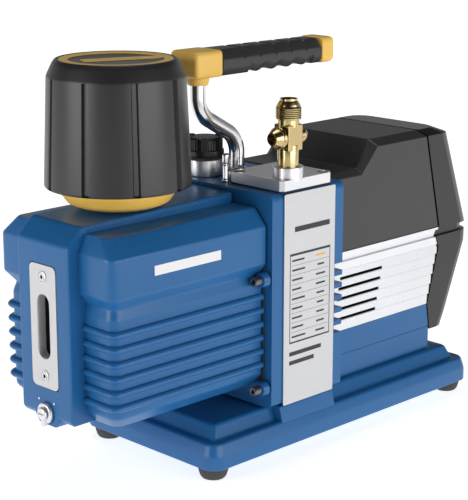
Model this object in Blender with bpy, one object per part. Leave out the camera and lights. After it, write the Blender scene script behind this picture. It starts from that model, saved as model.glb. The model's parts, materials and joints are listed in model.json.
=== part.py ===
"""Two-stage rotary vane vacuum pump with an oil casing, an exhaust mist filter and a direct-drive motor.

Metres, +Z up. The origin is the middle of the overall box on the ground. +X runs along the shaft to the
motor, and the side with the rating plate faces -Y. Blender 4.5.
"""

import math

import bmesh
import bpy
import numpy as np

# ---- driving dimensions ----
GAP = 0.0003
RUNNING_GAP = 0.0003

FOOT_HEIGHT = 0.010
FOOT_RADIUS = 0.0113
FOOT_SPACING_X = 0.277
FOOT_SPACING_Y = 0.1177
FRONT_FEET_X = -0.10025

BASE_FRONT_OVERHANG = 0.0139
BASE_REAR_OVERHANG = 0.0131
BASE_WIDTH = 0.147
BASE_CORNER_RADIUS = 0.011
BASE_BAND_HEIGHT = 0.0105
BASE_RIM_HEIGHT = 0.0095
BASE_RIM_DRAFT = 0.003
BASE_LEDGE_WIDTH = 0.0075
PLATEAU_HEIGHT = 0.010
PLATEAU_DRAFT = 0.0045
BASE_SKIN = 0.007

SHAFT_HEIGHT = 0.122
SHAFT_RADIUS = 0.009

HOUSING_FRONT = -0.04865
HOUSING_LENGTH = 0.0779
HOUSING_WIDTH = 0.136
HOUSING_TOP = 0.205
HOUSING_CORNER_RADIUS = 0.005
HOUSING_WALL = 0.020
COUPLING_BORE_RADIUS = 0.036
PEDESTAL_HEIGHT = 0.001
PEDESTAL_SETBACK = 0.0094
COMB_PITCH = 0.0099
COMB_OPENING = 0.0061
COMB_TOP = 0.1415
COMB_COUNT = 6
COMB_LENGTH = 0.0089
COMB_DEPTH = 0.0145

PLATE_WIDTH = 0.0555
PLATE_HEIGHT = 0.163
PLATE_THICKNESS = 0.001
PLATE_OFFSET = 0.0118
PLATE_CORNER_RADIUS = 0.0012

TANK_LENGTH = 0.156
TANK_GASKET_THICKNESS = 0.0015
TANK_HALF_WIDTH = 0.0632
TANK_DRAFT = 0.0006
TANK_TOP = 0.1996
TANK_TOP_DRAFT = 0.0027
TANK_CREASE_HEIGHT = 0.182
TANK_BOTTOM = 0.058
TANK_ROOF_HALF_WIDTH = 0.0515
TANK_ROOF_HEIGHT = 0.1946
TANK_WALL = 0.0065
SPINE_HALF_WIDTH = 0.028
SPINE_LEAD = 0.0092
SPINE_CREASE_HEIGHT = 0.1866
SPINE_CHAMFER_LENGTH = 0.013
SPINE_EDGE = 0.001
TONGUE_HALF_WIDTH = 0.0145
TONGUE_BOTTOM = 0.054
PANEL_CORNER_RADIUS = 0.008
RIB_COUNT = 6
RIB_PITCH = 0.01058
RIB_TOP_HEIGHT = 0.1283
RIB_DEPTH = 0.003
RIB_BASE = 0.0062

WINDOW_HEIGHT = 0.1258
WINDOW_PLATE_WIDTH = 0.0286
WINDOW_PLATE_HEIGHT = 0.0895
WINDOW_PLATE_THICKNESS = 0.002
WINDOW_POCKET = 0.0018
WINDOW_SLOT_WIDTH = 0.0136
WINDOW_SLOT_HEIGHT = 0.0475
WINDOW_SCREW_SPACING = 0.0722
WINDOW_SCREW_RADIUS = 0.004

DRAIN_HEIGHT = 0.0625
DRAIN_RADIUS = 0.0078
DRAIN_KNOB_RADIUS = 0.0048
DRAIN_BODY_LENGTH = 0.003
DRAIN_KNOB_LENGTH = 0.0019
DRAIN_STEM_RADIUS = 0.004
DRAIN_STEM_RISE = 0.004

TANK_SCREW_RADIUS = 0.0035
TANK_SCREW_HEAD = 0.007
TANK_SCREW_Y = 0.0635
TANK_SCREW_LOW = 0.058
TANK_SCREW_HIGH = 0.1425
TANK_EAR_HEIGHT = 0.014

FILTER_X = -0.1368
FILTER_NECK_RADIUS = 0.013
FILTER_NECK_HEIGHT = 0.0145
FILTER_SEAL_BOTTOM = 0.2017
FILTER_SEAL_THICKNESS = 0.0012
FILTER_CUP_LOW_RADIUS = 0.031
FILTER_CUP_TOP_RADIUS = 0.0435
FILTER_BODY_BOTTOM = 0.217
FILTER_BODY_RADIUS = 0.0527
FILTER_SHOULDER_RADIUS = 0.0493
FILTER_SHOULDER_HEIGHT = 0.2955
FILTER_TOP = 0.3075
FILTER_TOP_RADIUS = 0.0445
FILTER_WALL = 0.003
FILTER_GROOVES = 8
FILTER_GROOVE_ANGLE = 18.0
FILTER_GROOVE_WIDTH = 0.0045
FILTER_GROOVE_DEPTH = 0.0018
ELEMENT_RADIUS = 0.036

BLOCK_LENGTH = 0.055
BLOCK_WIDTH = 0.056
BLOCK_FRONT = -0.03825
BLOCK_GASKET = 0.0012
BLOCK_HEIGHT = 0.0079
BLOCK_CORNER = 0.003
COLLAR_RADIUS = 0.0115
COLLAR_HEIGHT = 0.0084
INTAKE_X = -0.02105
INTAKE_Y = -0.0572
INTAKE_BORE_RADIUS = 0.0055
INTAKE_SCREW_RADIUS = 0.0042

FITTING_STEM_RADIUS = 0.0073
FITTING_BODY_LOW = 0.2343
FITTING_BODY_SIDE = 0.015
FITTING_BODY_HEIGHT = 0.0193
FITTING_TOP = 0.2725
HALF_INCH_FLARE_RADIUS = 0.009525
THREE_EIGHTHS_FLARE_RADIUS = 0.00795
QUARTER_FLARE_RADIUS = 0.00555
FRONT_PORT_REACH = 0.0175
REAR_PORT_REACH = 0.017

HANDLE_TUBE_RADIUS = 0.006
HANDLE_POST_X = -0.0177
HANDLE_TOP_X = -0.058
HANDLE_BEND_LOW = 0.236
HANDLE_BEND_HIGH = 0.2589
HANDLE_COLLAR_RADIUS = 0.0095
HANDLE_COLLAR_HEIGHT = 0.008
GRIP_BOTTOM = 0.286
GRIP_HEIGHT = 0.020
GRIP_FRONT_WIDTH = 0.030
GRIP_REAR_WIDTH = 0.0245
CAP_SOCKET_RADIUS = 0.0086
GRIP_FRONT = -0.0733
FRONT_CAP_LENGTH = 0.027
GRIP_LENGTH = 0.1109
REAR_CAP_LENGTH = 0.0155
CAP_SOCKET_DEPTH = 0.006

FILLER_X = -0.02725
FILLER_Y = 0.025
FILLER_NECK_RADIUS = 0.0142
FILLER_BORE_RADIUS = 0.008
FILLER_NECK_HEIGHT = 0.0125
FILLER_SEAL_THICKNESS = 0.0018
FILLER_CAP_RADIUS = 0.0148
FILLER_CAP_HEIGHT = 0.0155
FILLER_CAP_LOBES = 6

BALLAST_X = -0.0375
BALLAST_Y = -0.0083
BALLAST_RADIUS = 0.0023
BALLAST_HEIGHT = 0.0222

STATOR_RADIUS = 0.042
BORE_RADIUS = 0.0297
ROTOR_RADIUS = 0.026
HIGH_STAGE_LENGTH = 0.050
LOW_STAGE_LENGTH = 0.022
CENTRE_PLATE_THICKNESS = 0.008
END_WALL = 0.008
VANE_THICKNESS = 0.004
VANE_DEPTH = 0.0185
EXHAUST_DISC_RADIUS = 0.006
EXHAUST_DISC_THICKNESS = 0.0012

MOTOR_HALF_WIDTH = 0.053
MOTOR_LENGTH = 0.1285
MOTOR_SKIN = 0.004
FRAME_SIDE_HEIGHT = 0.079
BARREL_RADIUS = 0.0482
BARREL_WALL = 0.003
BARREL_START = 0.012
BARREL_LENGTH = 0.088
SHIELD_THICKNESS = 0.006
BEARING_RADIUS = 0.0175
BEARING_WIDTH = 0.010
MOTOR_ROTOR_RADIUS = 0.026
STATOR_BORE_RADIUS = 0.0267
COUPLING_RADIUS = 0.022
COUPLING_LENGTH = 0.030
FAN_RADIUS = 0.040
FAN_BLADES = 7
CAPACITOR_RADIUS = 0.016
CAPACITOR_LENGTH = 0.055

COVER_BOTTOM = 0.1435
LOUVRE_RIB_PITCH = 0.00825
LOUVRE_RIBS = 6
LOUVRE_RIB_DEPTH = 0.0011
SLOT_COUNT = 5
SLOT_LENGTH = 0.051
SLOT_HEIGHT = 0.0024
SLOT_START = 0.0148
SLOT_SHIFT = 0.00185
SHELF_TOP = 0.206
SHELF_HALF_WIDTH = 0.0465
SHELF_SIDE_HEIGHT = 0.202
SHELF_LENGTH = 0.0387
SLOPE_LENGTH = 0.0186
COVER_TOP = 0.2265
COVER_TOP_HALF_WIDTH = 0.043
COVER_SIDE_HEIGHT = 0.2223
COVER_SKIN = 0.003
SEAM = 0.0008

BAND_LOW = 0.1256
GROOVE_LOW = 0.1356
GROOVE_HIGH = 0.1422
GROOVE_DEPTH = 0.0026
REAR_DEPTH = 0.1472
REAR_CORNER_RADIUS = 0.014
REAR_VENTS = 5
REAR_VENT_PITCH = 0.010
REAR_VENT_HEIGHT = 0.004
REAR_VENT_WIDTH = 0.056
REAR_VENT_LOW = 0.078
REAR_BOTTOM = 0.056

SWITCH_HEIGHT = 0.200
SWITCH_WIDTH = 0.012
SWITCH_TALL = 0.018
SWITCH_CLEARANCE = 0.0008
SWITCH_THROW = 20.0
INLET_HEIGHT = 0.168
INLET_WIDTH = 0.020
INLET_TALL = 0.027

# ---- places that follow from them ----
BASE_BOTTOM = FOOT_HEIGHT
BASE_FRONT = FRONT_FEET_X - BASE_FRONT_OVERHANG
BASE_REAR = FRONT_FEET_X + FOOT_SPACING_X + BASE_REAR_OVERHANG
RIM_TOP = BASE_BOTTOM + BASE_BAND_HEIGHT + BASE_RIM_HEIGHT
PLATEAU_TOP = RIM_TOP + PLATEAU_HEIGHT
PEDESTAL_TOP = PLATEAU_TOP + PEDESTAL_HEIGHT
HOUSING_BOTTOM = PEDESTAL_TOP + GAP
HOUSING_REAR = HOUSING_FRONT + HOUSING_LENGTH
HOUSING_SIDE = HOUSING_WIDTH / 2
TANK_REAR = HOUSING_FRONT - GAP - TANK_GASKET_THICKNESS - GAP
TANK_FRONT = TANK_REAR - TANK_LENGTH
PANEL_FRONT = TANK_FRONT + SPINE_LEAD
CAVITY_FRONT = PANEL_FRONT + 0.012
BLOCK_BOTTOM = HOUSING_TOP + BLOCK_GASKET
BLOCK_TOP = BLOCK_BOTTOM + BLOCK_HEIGHT
BLOCK_NEAR = -HOUSING_SIDE
MOTOR_FRONT = HOUSING_REAR + GAP
MOTOR_REAR = HOUSING_REAR + MOTOR_LENGTH
MOTOR_BOTTOM = PLATEAU_TOP + GAP
BARREL_FRONT = MOTOR_FRONT + BARREL_START
BARREL_REAR = BARREL_FRONT + BARREL_LENGTH
BORE_DROP = BORE_RADIUS - ROTOR_RADIUS - RUNNING_GAP
HIGH_STATOR_FRONT = HOUSING_FRONT - GAP - HIGH_STAGE_LENGTH
CENTRE_PLATE_FRONT = HIGH_STATOR_FRONT - GAP - CENTRE_PLATE_THICKNESS
LOW_BORE_FRONT = CENTRE_PLATE_FRONT - GAP - LOW_STAGE_LENGTH
LOW_STATOR_FRONT = LOW_BORE_FRONT - END_WALL
NECK_TOP = TANK_TOP + FILTER_NECK_HEIGHT
SLOPE_START = MOTOR_FRONT + SHELF_LENGTH
SLOPE_END = SLOPE_START + SLOPE_LENGTH

COLOURS = {
    "blue_enamel": ((0.030, 0.140, 0.340), 0.35, 0.0),
    "black_rubber": ((0.035, 0.035, 0.034), 0.80, 0.0),
    "plate_silver": ((0.75, 0.75, 0.77), 0.35, 0.6),
    "polished_aluminium": ((0.80, 0.81, 0.83), 0.20, 1.0),
    "brass": ((0.60, 0.42, 0.17), 0.25, 1.0),
    "chrome": ((0.80, 0.80, 0.82), 0.08, 1.0),
    "yellow_plastic": ((0.80, 0.50, 0.10), 0.45, 0.0),
    "grip_plastic": ((0.05, 0.05, 0.055), 0.60, 0.0),
    "dark_plastic": ((0.09, 0.09, 0.095), 0.50, 0.0),
    "black_plastic": ((0.02, 0.02, 0.022), 0.50, 0.0),
    "silver_panel": ((0.70, 0.71, 0.74), 0.40, 0.3),
    "screw_steel": ((0.50, 0.50, 0.52), 0.30, 1.0),
    "sight_glass": ((0.85, 0.88, 0.86), 0.05, 0.0),
    "cast_iron": ((0.22, 0.22, 0.23), 0.60, 0.6),
    "ground_steel": ((0.45, 0.46, 0.48), 0.25, 1.0),
    "vane_composite": ((0.20, 0.13, 0.07), 0.60, 0.0),
    "gasket_paper": ((0.12, 0.12, 0.12), 0.85, 0.0),
    "filter_media": ((0.75, 0.73, 0.66), 0.90, 0.0),
    "stator_steel": ((0.30, 0.30, 0.32), 0.45, 0.8),
}


# ---- helpers ----
def clear_scene():
    for obj in list(bpy.data.objects):
        bpy.data.objects.remove(obj)


def material(name):
    found = bpy.data.materials.get(name)
    if found:
        return found
    colour, roughness, metallic = COLOURS[name]
    made = bpy.data.materials.new(name)
    made.use_nodes = True
    shader = made.node_tree.nodes["Principled BSDF"]
    shader.inputs["Base Color"].default_value = (*colour, 1.0)
    shader.inputs["Roughness"].default_value = roughness
    shader.inputs["Metallic"].default_value = metallic
    return made


def add_solid(name, points, faces, finish, origin=(0, 0, 0)):
    """A closed mesh object whose own origin is at the given place."""
    points = np.asarray(points, float) - np.asarray(origin, float)
    mesh = bpy.data.meshes.new(name)
    mesh.from_pydata(points.tolist(), [], [list(face) for face in faces])
    work = bmesh.new()
    work.from_mesh(mesh)
    bmesh.ops.recalc_face_normals(work, faces=work.faces)
    work.to_mesh(mesh)
    work.free()
    mesh.shade_smooth()
    mesh.set_sharp_from_angle(angle=math.radians(32))
    mesh.materials.append(material(finish))
    obj = bpy.data.objects.new(name, mesh)
    obj.location = origin
    bpy.context.scene.collection.objects.link(obj)
    return obj


def loft(name, rings, finish, origin=(0, 0, 0), closed=False):
    """Skin between rings of equally many points; open lofts get end caps, closed ones join the last ring to the first."""
    count = len(rings[0])
    points = np.concatenate([np.asarray(ring, float) for ring in rings])
    faces = []
    spans = len(rings) if closed else len(rings) - 1
    for ring in range(spans):
        here, there = ring * count, ((ring + 1) % len(rings)) * count
        for step in range(count):
            after = (step + 1) % count
            faces.append((here + step, here + after, there + after, there + step))
    if not closed:
        faces.append(tuple(reversed(range(count))))
        faces.append(tuple(range(len(points) - count, len(points))))
    return add_solid(name, points, faces, finish, origin)


def block(name, low, high, finish, origin=None):
    (x0, y0, z0), (x1, y1, z1) = low, high
    rings = [[(x0, y0, z), (x1, y0, z), (x1, y1, z), (x0, y1, z)] for z in (z0, z1)]
    return loft(name, rings, finish, origin or ((x0 + x1) / 2, (y0 + y1) / 2, z0))


def frame_along(axis):
    """Two directions across the axis, so that across, upwards and axis are right-handed."""
    return {
        "x": (np.array((0, 1, 0)), np.array((0, 0, 1)), np.array((1, 0, 0))),
        "y": (np.array((0, 0, 1)), np.array((1, 0, 0)), np.array((0, 1, 0))),
        "z": (np.array((1, 0, 0)), np.array((0, 1, 0)), np.array((0, 0, 1))),
    }[axis]


def turned(name, profile, finish, centre, axis="z", segments=24, ring=False, frame=None, origin=None):
    """A profile of (radius, place along the axis) turned about the axis; ring=True joins its end to its start."""
    across, upwards, along = frame or frame_along(axis)
    centre = np.asarray(centre, float)
    angles = np.linspace(0, 2 * math.pi, segments, endpoint=False)
    spokes = np.outer(np.cos(angles), across) + np.outer(np.sin(angles), upwards)
    rings = [centre + along * place + spokes * radius for radius, place in profile]
    return loft(name, rings, finish, tuple(centre if origin is None else origin), closed=ring)


def disc(name, radius, start, end, finish, centre, axis="z", segments=24, **rest):
    return turned(name, [(radius, start), (radius, end)], finish, centre, axis, segments, **rest)


def washer(name, outer, inner, start, end, finish, centre, axis="z", segments=24, **rest):
    profile = [(inner, start), (outer, start), (outer, end), (inner, end)]
    return turned(name, profile, finish, centre, axis, segments, ring=True, **rest)


def extrude(name, outline, axis, start, end, finish, origin=(0, 0, 0)):
    """An outline in the plane across the axis, as (across, upwards) pairs, carried from start to end."""
    across, upwards, along = frame_along(axis)
    flat = np.array([a * across + b * upwards for a, b in outline])
    return loft(name, [flat + along * start, flat + along * end], finish, origin)


def rounded_rectangle(x0, x1, y0, y1, radius, steps=4):
    """Corner arcs of one radius, going round from the +x, +y corner."""
    corners = [(x1 - radius, y1 - radius, 0), (x0 + radius, y1 - radius, 90)]
    corners += [(x0 + radius, y0 + radius, 180), (x1 - radius, y0 + radius, 270)]
    outline = []
    for x, y, first in corners:
        for step in range(steps + 1):
            angle = math.radians(first + 90 * step / steps)
            outline.append((x + radius * math.cos(angle), y + radius * math.sin(angle)))
    return outline


def modify(obj, kind, **settings):
    modifier = obj.modifiers.new(kind.lower(), kind)
    for key, value in settings.items():
        setattr(modifier, key, value)
    return modifier


def hide(obj):
    obj.hide_render = True
    obj.display_type = "WIRE"
    return obj


def cut(obj, *cutters):
    for cutter in cutters:
        modify(obj, "BOOLEAN", operation="DIFFERENCE", solver="EXACT", object=hide(cutter))


def unite(obj, *others):
    for other in others:
        modify(obj, "BOOLEAN", operation="UNION", solver="EXACT", object=hide(other))


def carry(axis_empty, *pieces):
    """Parents pieces to an empty on their joint's axis, where they stand."""
    for piece in pieces:
        piece.parent = axis_empty
        piece.location = piece.location - axis_empty.location


def axis_empty(name, place):
    empty = bpy.data.objects.new(name, None)
    empty.location = place
    empty.empty_display_size = 0.02
    bpy.context.scene.collection.objects.link(empty)
    return empty


# ---- base and feet ----
def plan_ring(inset, z, extra=0.0):
    """The base's plan at one height, moved in from its outer edge."""
    total = inset + extra
    half = BASE_WIDTH / 2 - total
    radius = max(BASE_CORNER_RADIUS - total * 0.7, 0.003)
    outline = rounded_rectangle(BASE_FRONT + total, BASE_REAR - total, -half, half, radius)
    return [(x, y, z) for x, y in outline]


def make_base():
    ledge = BASE_RIM_DRAFT + BASE_LEDGE_WIDTH
    rings = [
        plan_ring(0, BASE_BOTTOM),
        plan_ring(0, BASE_BOTTOM + BASE_BAND_HEIGHT),
        plan_ring(BASE_RIM_DRAFT, RIM_TOP),
        plan_ring(ledge, RIM_TOP),
        plan_ring(ledge + PLATEAU_DRAFT, PLATEAU_TOP),
    ]
    base = loft("base_plate", rings, "blue_enamel")
    near, top = BASE_WIDTH / 2 - BASE_RIM_DRAFT, HOUSING_SIDE
    outline = [(-near, RIM_TOP - 0.002), (near, RIM_TOP - 0.002), (near, RIM_TOP), (top, PEDESTAL_TOP)]
    outline += [(-top, PEDESTAL_TOP), (-near, RIM_TOP)]
    start = HOUSING_FRONT + PEDESTAL_SETBACK
    pedestal = extrude("pedestal_shape", outline, "x", start, start + PLATE_WIDTH + 0.004, "blue_enamel")
    unite(base, pedestal)
    side = FOOT_SPACING_Y / 2 - FOOT_RADIUS - 0.004
    ends = FOOT_RADIUS + 0.006
    low, high = FRONT_FEET_X + ends, FRONT_FEET_X + FOOT_SPACING_X - ends
    top = PLATEAU_TOP - BASE_SKIN
    hollow = block("underside_shape", (low, -side, BASE_BOTTOM - 0.005), (high, side, top), "blue_enamel")
    cut(base, hollow)


def make_feet():
    for side, y in (("near", -FOOT_SPACING_Y / 2), ("far", FOOT_SPACING_Y / 2)):
        for end, x in (("front", FRONT_FEET_X), ("rear", FRONT_FEET_X + FOOT_SPACING_X)):
            top = FOOT_HEIGHT - GAP
            low = FOOT_RADIUS * 0.86
            profile = [(low - 0.002, 0), (low, 0.002), (FOOT_RADIUS, top - 0.0015), (FOOT_RADIUS, top)]
            turned(f"foot_{end}_{side}", profile, "black_rubber", (x, y, 0), segments=20)


# ---- pump housing, rating plate ----
def make_housing():
    outline = rounded_rectangle(-HOUSING_SIDE, HOUSING_SIDE, HOUSING_BOTTOM, HOUSING_TOP, HOUSING_CORNER_RADIUS)
    housing = extrude("pump_housing", outline, "x", HOUSING_FRONT, HOUSING_REAR, "blue_enamel",
                      (HOUSING_FRONT, 0, SHAFT_HEIGHT))
    shaft_line = (HOUSING_FRONT, 0, SHAFT_HEIGHT)
    chamber = disc("coupling_chamber_shape", COUPLING_BORE_RADIUS, HOUSING_WALL, HOUSING_LENGTH + 0.01,
                   "blue_enamel", shaft_line, "x", 40)
    shaft_hole = disc("shaft_hole_shape", SHAFT_RADIUS + RUNNING_GAP, -0.01, HOUSING_WALL + 0.005,
                      "blue_enamel", shaft_line, "x", 32)
    intake = disc("intake_passage_shape", INTAKE_BORE_RADIUS, -0.04, 0.01, "blue_enamel",
                  (INTAKE_X, INTAKE_Y, HOUSING_TOP), "z", 20)
    filler = disc("filler_passage_shape", FILLER_BORE_RADIUS, -0.03, 0.01, "blue_enamel",
                  (FILLER_X, FILLER_Y, HOUSING_TOP), "z", 20)
    cut(housing, chamber, shaft_hole, intake, filler)
    for side in (-1, 1):
        for step in range(COMB_COUNT):
            top = COMB_TOP - step * COMB_PITCH
            ys = sorted((side * (HOUSING_SIDE + 0.01), side * (HOUSING_SIDE - COMB_DEPTH)))
            low = (HOUSING_REAR - COMB_LENGTH, ys[0], top - COMB_OPENING)
            cut(housing, block("comb_opening_shape", low, (HOUSING_REAR + 0.01, ys[1], top), "blue_enamel"))


def make_rating_plate():
    low = HOUSING_FRONT + PLATE_OFFSET
    outline = rounded_rectangle(HOUSING_BOTTOM, HOUSING_BOTTOM + PLATE_HEIGHT, low, low + PLATE_WIDTH,
                                PLATE_CORNER_RADIUS, 2)
    back = -HOUSING_SIDE - GAP
    extrude("rating_plate", outline, "y", back - PLATE_THICKNESS, back, "plate_silver", (low, back, HOUSING_BOTTOM))


# ---- oil casing ----
def panel_section():
    """(height, inset) down the ribbed side panel: a notch, then rounded ribs on a set-back wall."""
    wall = 0.0043
    section = [(TANK_CREASE_HEIGHT, 0.0), (0.1537, 0.0), (0.1455, 0.0063), (0.1385, wall)]
    for rib in range(RIB_COUNT):
        middle = RIB_TOP_HEIGHT - rib * RIB_PITCH
        for share, rise in ((0.5, 0.0), (0.2, 0.9), (-0.2, 0.9), (-0.5, 0.0)):
            section.append((middle + share * RIB_BASE, wall - rise * RIB_DEPTH))
    section += [(0.0665, wall), (TANK_BOTTOM, wall + 0.0085)]
    return section


def panel_ring(side, z, inset, inset_front=None):
    """One height of a side panel: flat inner side, rounded front corner, draft towards the front."""
    inset_front = inset if inset_front is None else inset_front
    front = PANEL_FRONT + inset_front
    outer = TANK_HALF_WIDTH - TANK_DRAFT - inset
    radius = PANEL_CORNER_RADIUS
    inner = SPINE_HALF_WIDTH - 0.006
    ring = [(TANK_REAR, inner), (front, inner)]
    for step in range(4):
        angle = math.radians(180 - 30 * step)
        ring.append((front + radius + radius * math.cos(angle), outer - radius + radius * math.sin(angle)))
    ring.append((TANK_REAR, outer + TANK_DRAFT))
    return [(x, side * y, z) for x, y in ring]


def make_panel(side):
    roof_inset = TANK_HALF_WIDTH - TANK_DRAFT - TANK_ROOF_HALF_WIDTH
    rings = [panel_ring(side, TANK_ROOF_HEIGHT, roof_inset, 0.006)]
    rings += [panel_ring(side, z, inset) for z, inset in panel_section()]
    return loft("side_panel_shape", rings, "blue_enamel")


def make_tank():
    crease, top = SPINE_CREASE_HEIGHT, TANK_TOP
    outline = [(TANK_REAR, TANK_BOTTOM), (TANK_REAR, top + TANK_TOP_DRAFT)]
    outline += [(TANK_FRONT + SPINE_CHAMFER_LENGTH, top), (TANK_FRONT, crease), (TANK_FRONT, TANK_BOTTOM + 0.003)]
    outline += [(TANK_FRONT + 0.006, TANK_BOTTOM)]
    edge, half = SPINE_EDGE, SPINE_HALF_WIDTH
    shrink = [(max(x, TANK_FRONT + edge), z) for x, z in outline]
    rings = []
    for y, points in ((-half, shrink), (-half + edge, outline), (half - edge, outline), (half, shrink)):
        rings.append([(x, y, z) for x, z in points])
    tank = loft("oil_tank", rings, "blue_enamel", (TANK_REAR, 0, SHAFT_HEIGHT))
    tongue = block("tongue_shape", (TANK_FRONT + 0.0002, -TONGUE_HALF_WIDTH, TONGUE_BOTTOM),
                   (TANK_FRONT + 0.030, TONGUE_HALF_WIDTH, TANK_BOTTOM + 0.02), "blue_enamel")
    unite(tank, make_panel(-1), make_panel(1), tongue)
    for side in (-1, 1):
        for z in (TANK_SCREW_LOW, TANK_SCREW_HIGH):
            ys = sorted((side * 0.045, side * (TANK_SCREW_Y + TANK_SCREW_RADIUS + 0.0012)))
            low = (TANK_REAR - 0.006, ys[0], z - TANK_EAR_HEIGHT / 2)
            unite(tank, block("screw_ear_shape", low, (TANK_REAR, ys[1], z + TANK_EAR_HEIGHT / 2), "blue_enamel"))
    half, wall = TANK_HALF_WIDTH - 0.0135, TANK_WALL
    cavity = block("oil_space_shape", (CAVITY_FRONT, -half, TANK_BOTTOM + wall),
                   (TANK_REAR + 0.01, half, 0.177), "blue_enamel")
    sight = block("sight_space_shape", (TANK_FRONT + wall, -0.012, 0.076), (CAVITY_FRONT + 0.001, 0.012, 0.172),
                  "blue_enamel")
    slot = extrude("sight_slot_shape", slot_outline(0), "x", TANK_FRONT - 0.01, TANK_FRONT + wall + 0.001,
                   "blue_enamel")
    drain = disc("drain_hole_shape", DRAIN_STEM_RADIUS + GAP, -0.01, 0.030, "blue_enamel",
                 (TANK_FRONT, 0, DRAIN_HEIGHT + DRAIN_STEM_RISE), "x", 20)
    neck = disc("neck_hole_shape", FILTER_NECK_RADIUS - 0.003 + GAP, -0.04, 0.02, "blue_enamel",
                (FILTER_X, 0, TANK_TOP), "z", 28)
    pocket = extrude("window_pocket_shape", plate_outline(2 * GAP), "x", TANK_FRONT - 0.01,
                     TANK_FRONT + WINDOW_POCKET, "blue_enamel")
    cut(tank, cavity, sight, slot, drain, neck, pocket)
    for side in (-1, 1):
        for z in (TANK_SCREW_LOW, TANK_SCREW_HIGH):
            hole = disc("screw_hole_shape", 0.002 + GAP, -0.02, 0.01, "blue_enamel",
                        (TANK_REAR, side * TANK_SCREW_Y, z), "x", 12)
            cut(tank, hole)


def slot_outline(grow):
    """The sight window's slot with round ends, grown outwards all round."""
    width, height = WINDOW_SLOT_WIDTH + 2 * grow, WINDOW_SLOT_HEIGHT + 2 * grow
    low, high = WINDOW_HEIGHT - height / 2, WINDOW_HEIGHT + height / 2
    return rounded_rectangle(-width / 2, width / 2, low, high, width / 2 * 0.999, 5)


def make_tank_gasket():
    outer = HOUSING_SIDE - 0.0075
    inner = TANK_HALF_WIDTH - 0.0135
    low, high = TANK_BOTTOM + 0.004, 0.181
    gasket = block("tank_gasket", (TANK_REAR + GAP, -outer, low), (HOUSING_FRONT - GAP, outer, high),
                   "gasket_paper")
    opening = block("gasket_opening_shape", (TANK_REAR - 0.01, -inner, TANK_BOTTOM + TANK_WALL + 0.003),
                    (HOUSING_FRONT + 0.01, inner, 0.176), "gasket_paper")
    cut(gasket, opening)


def make_tank_screws():
    for side, y in (("near", -TANK_SCREW_Y), ("far", TANK_SCREW_Y)):
        for level, z in (("lower", TANK_SCREW_LOW), ("upper", TANK_SCREW_HIGH)):
            seat = TANK_REAR - 0.006 - GAP
            length = TANK_SCREW_HEAD
            profile = [(0.0015, -length + 0.003), (0.0015, -length), (TANK_SCREW_RADIUS - 0.0004, -length)]
            profile += [(TANK_SCREW_RADIUS, -length + 0.0004), (TANK_SCREW_RADIUS, 0), (0.002, 0), (0.002, 0.006)]
            turned(f"tank_screw_{level}_{side}", profile, "screw_steel", (seat, y, z), "x", 12)


def plate_outline(grow):
    """The window plate's outline, grown outwards all round."""
    half, tall = WINDOW_PLATE_WIDTH / 2 + grow, WINDOW_PLATE_HEIGHT / 2 + grow
    return rounded_rectangle(-half, half, WINDOW_HEIGHT - tall, WINDOW_HEIGHT + tall, 0.004 + grow)


def make_window():
    face = TANK_FRONT + WINDOW_POCKET - GAP
    plate = extrude("window_plate", plate_outline(0), "x", face - WINDOW_PLATE_THICKNESS, face, "plate_silver",
                    (face, 0, WINDOW_HEIGHT))
    cut(plate, extrude("plate_slot_shape", slot_outline(0), "x", face - 0.01, face + 0.01, "plate_silver"))
    extrude("sight_glass", slot_outline(-GAP), "x", TANK_FRONT + 0.0038, TANK_FRONT + 0.0062, "sight_glass",
            (TANK_FRONT, 0, WINDOW_HEIGHT))
    for level, sign in (("upper", 1), ("lower", -1)):
        z = WINDOW_HEIGHT + sign * WINDOW_SCREW_SPACING / 2
        cut(plate, disc("plate_screw_shape", 0.0016 + GAP, -0.01, 0.01, "plate_silver", (face, 0, z), "x", 16))
        seat = face - WINDOW_PLATE_THICKNESS - GAP
        profile = [(0.0012, -0.0002), (0.0012, -0.0008), (WINDOW_SCREW_RADIUS - 0.0008, -0.001)]
        profile += [(WINDOW_SCREW_RADIUS, -0.0002), (WINDOW_SCREW_RADIUS, 0), (0.0016, 0), (0.0016, 0.002)]
        turned(f"window_screw_{level}", profile, "screw_steel", (seat, 0, z), "x", 12)


def make_drain():
    seat = TANK_FRONT - GAP
    radius = DRAIN_RADIUS
    z = DRAIN_HEIGHT
    body = disc("drain_valve", radius, -DRAIN_BODY_LENGTH, 0, "polished_aluminium", (seat, 0, z), "x", 32)
    stem = disc("drain_stem_shape", DRAIN_STEM_RADIUS, -0.002, 0.010, "polished_aluminium",
                (seat, 0, z + DRAIN_STEM_RISE), "x", 20)
    unite(body, stem)
    bore = disc("drain_bore_shape", 0.002 + GAP, -0.02, 0.0005 - GAP, "polished_aluminium", (seat, 0, z), "x", 16)
    cut(body, bore)
    knob_back = seat - DRAIN_BODY_LENGTH - GAP
    length = DRAIN_KNOB_LENGTH
    profile = [(DRAIN_KNOB_RADIUS - 0.0006, -length), (DRAIN_KNOB_RADIUS, -length + 0.0006), (DRAIN_KNOB_RADIUS, 0)]
    profile += [(0.002, 0), (0.002, DRAIN_BODY_LENGTH)]
    knob = turned("drain_knob", profile, "polished_aluminium", (knob_back, 0, z), "x", 32)
    ear = block("knob_bar_shape", (knob_back - length + 0.0004, -0.0028, z - 0.0095),
                (knob_back - 0.0003, 0.0028, z - 0.003), "polished_aluminium")
    unite(knob, ear)
    axis = axis_empty("drain_axis", (knob_back, 0, z))
    carry(axis, knob)


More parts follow.
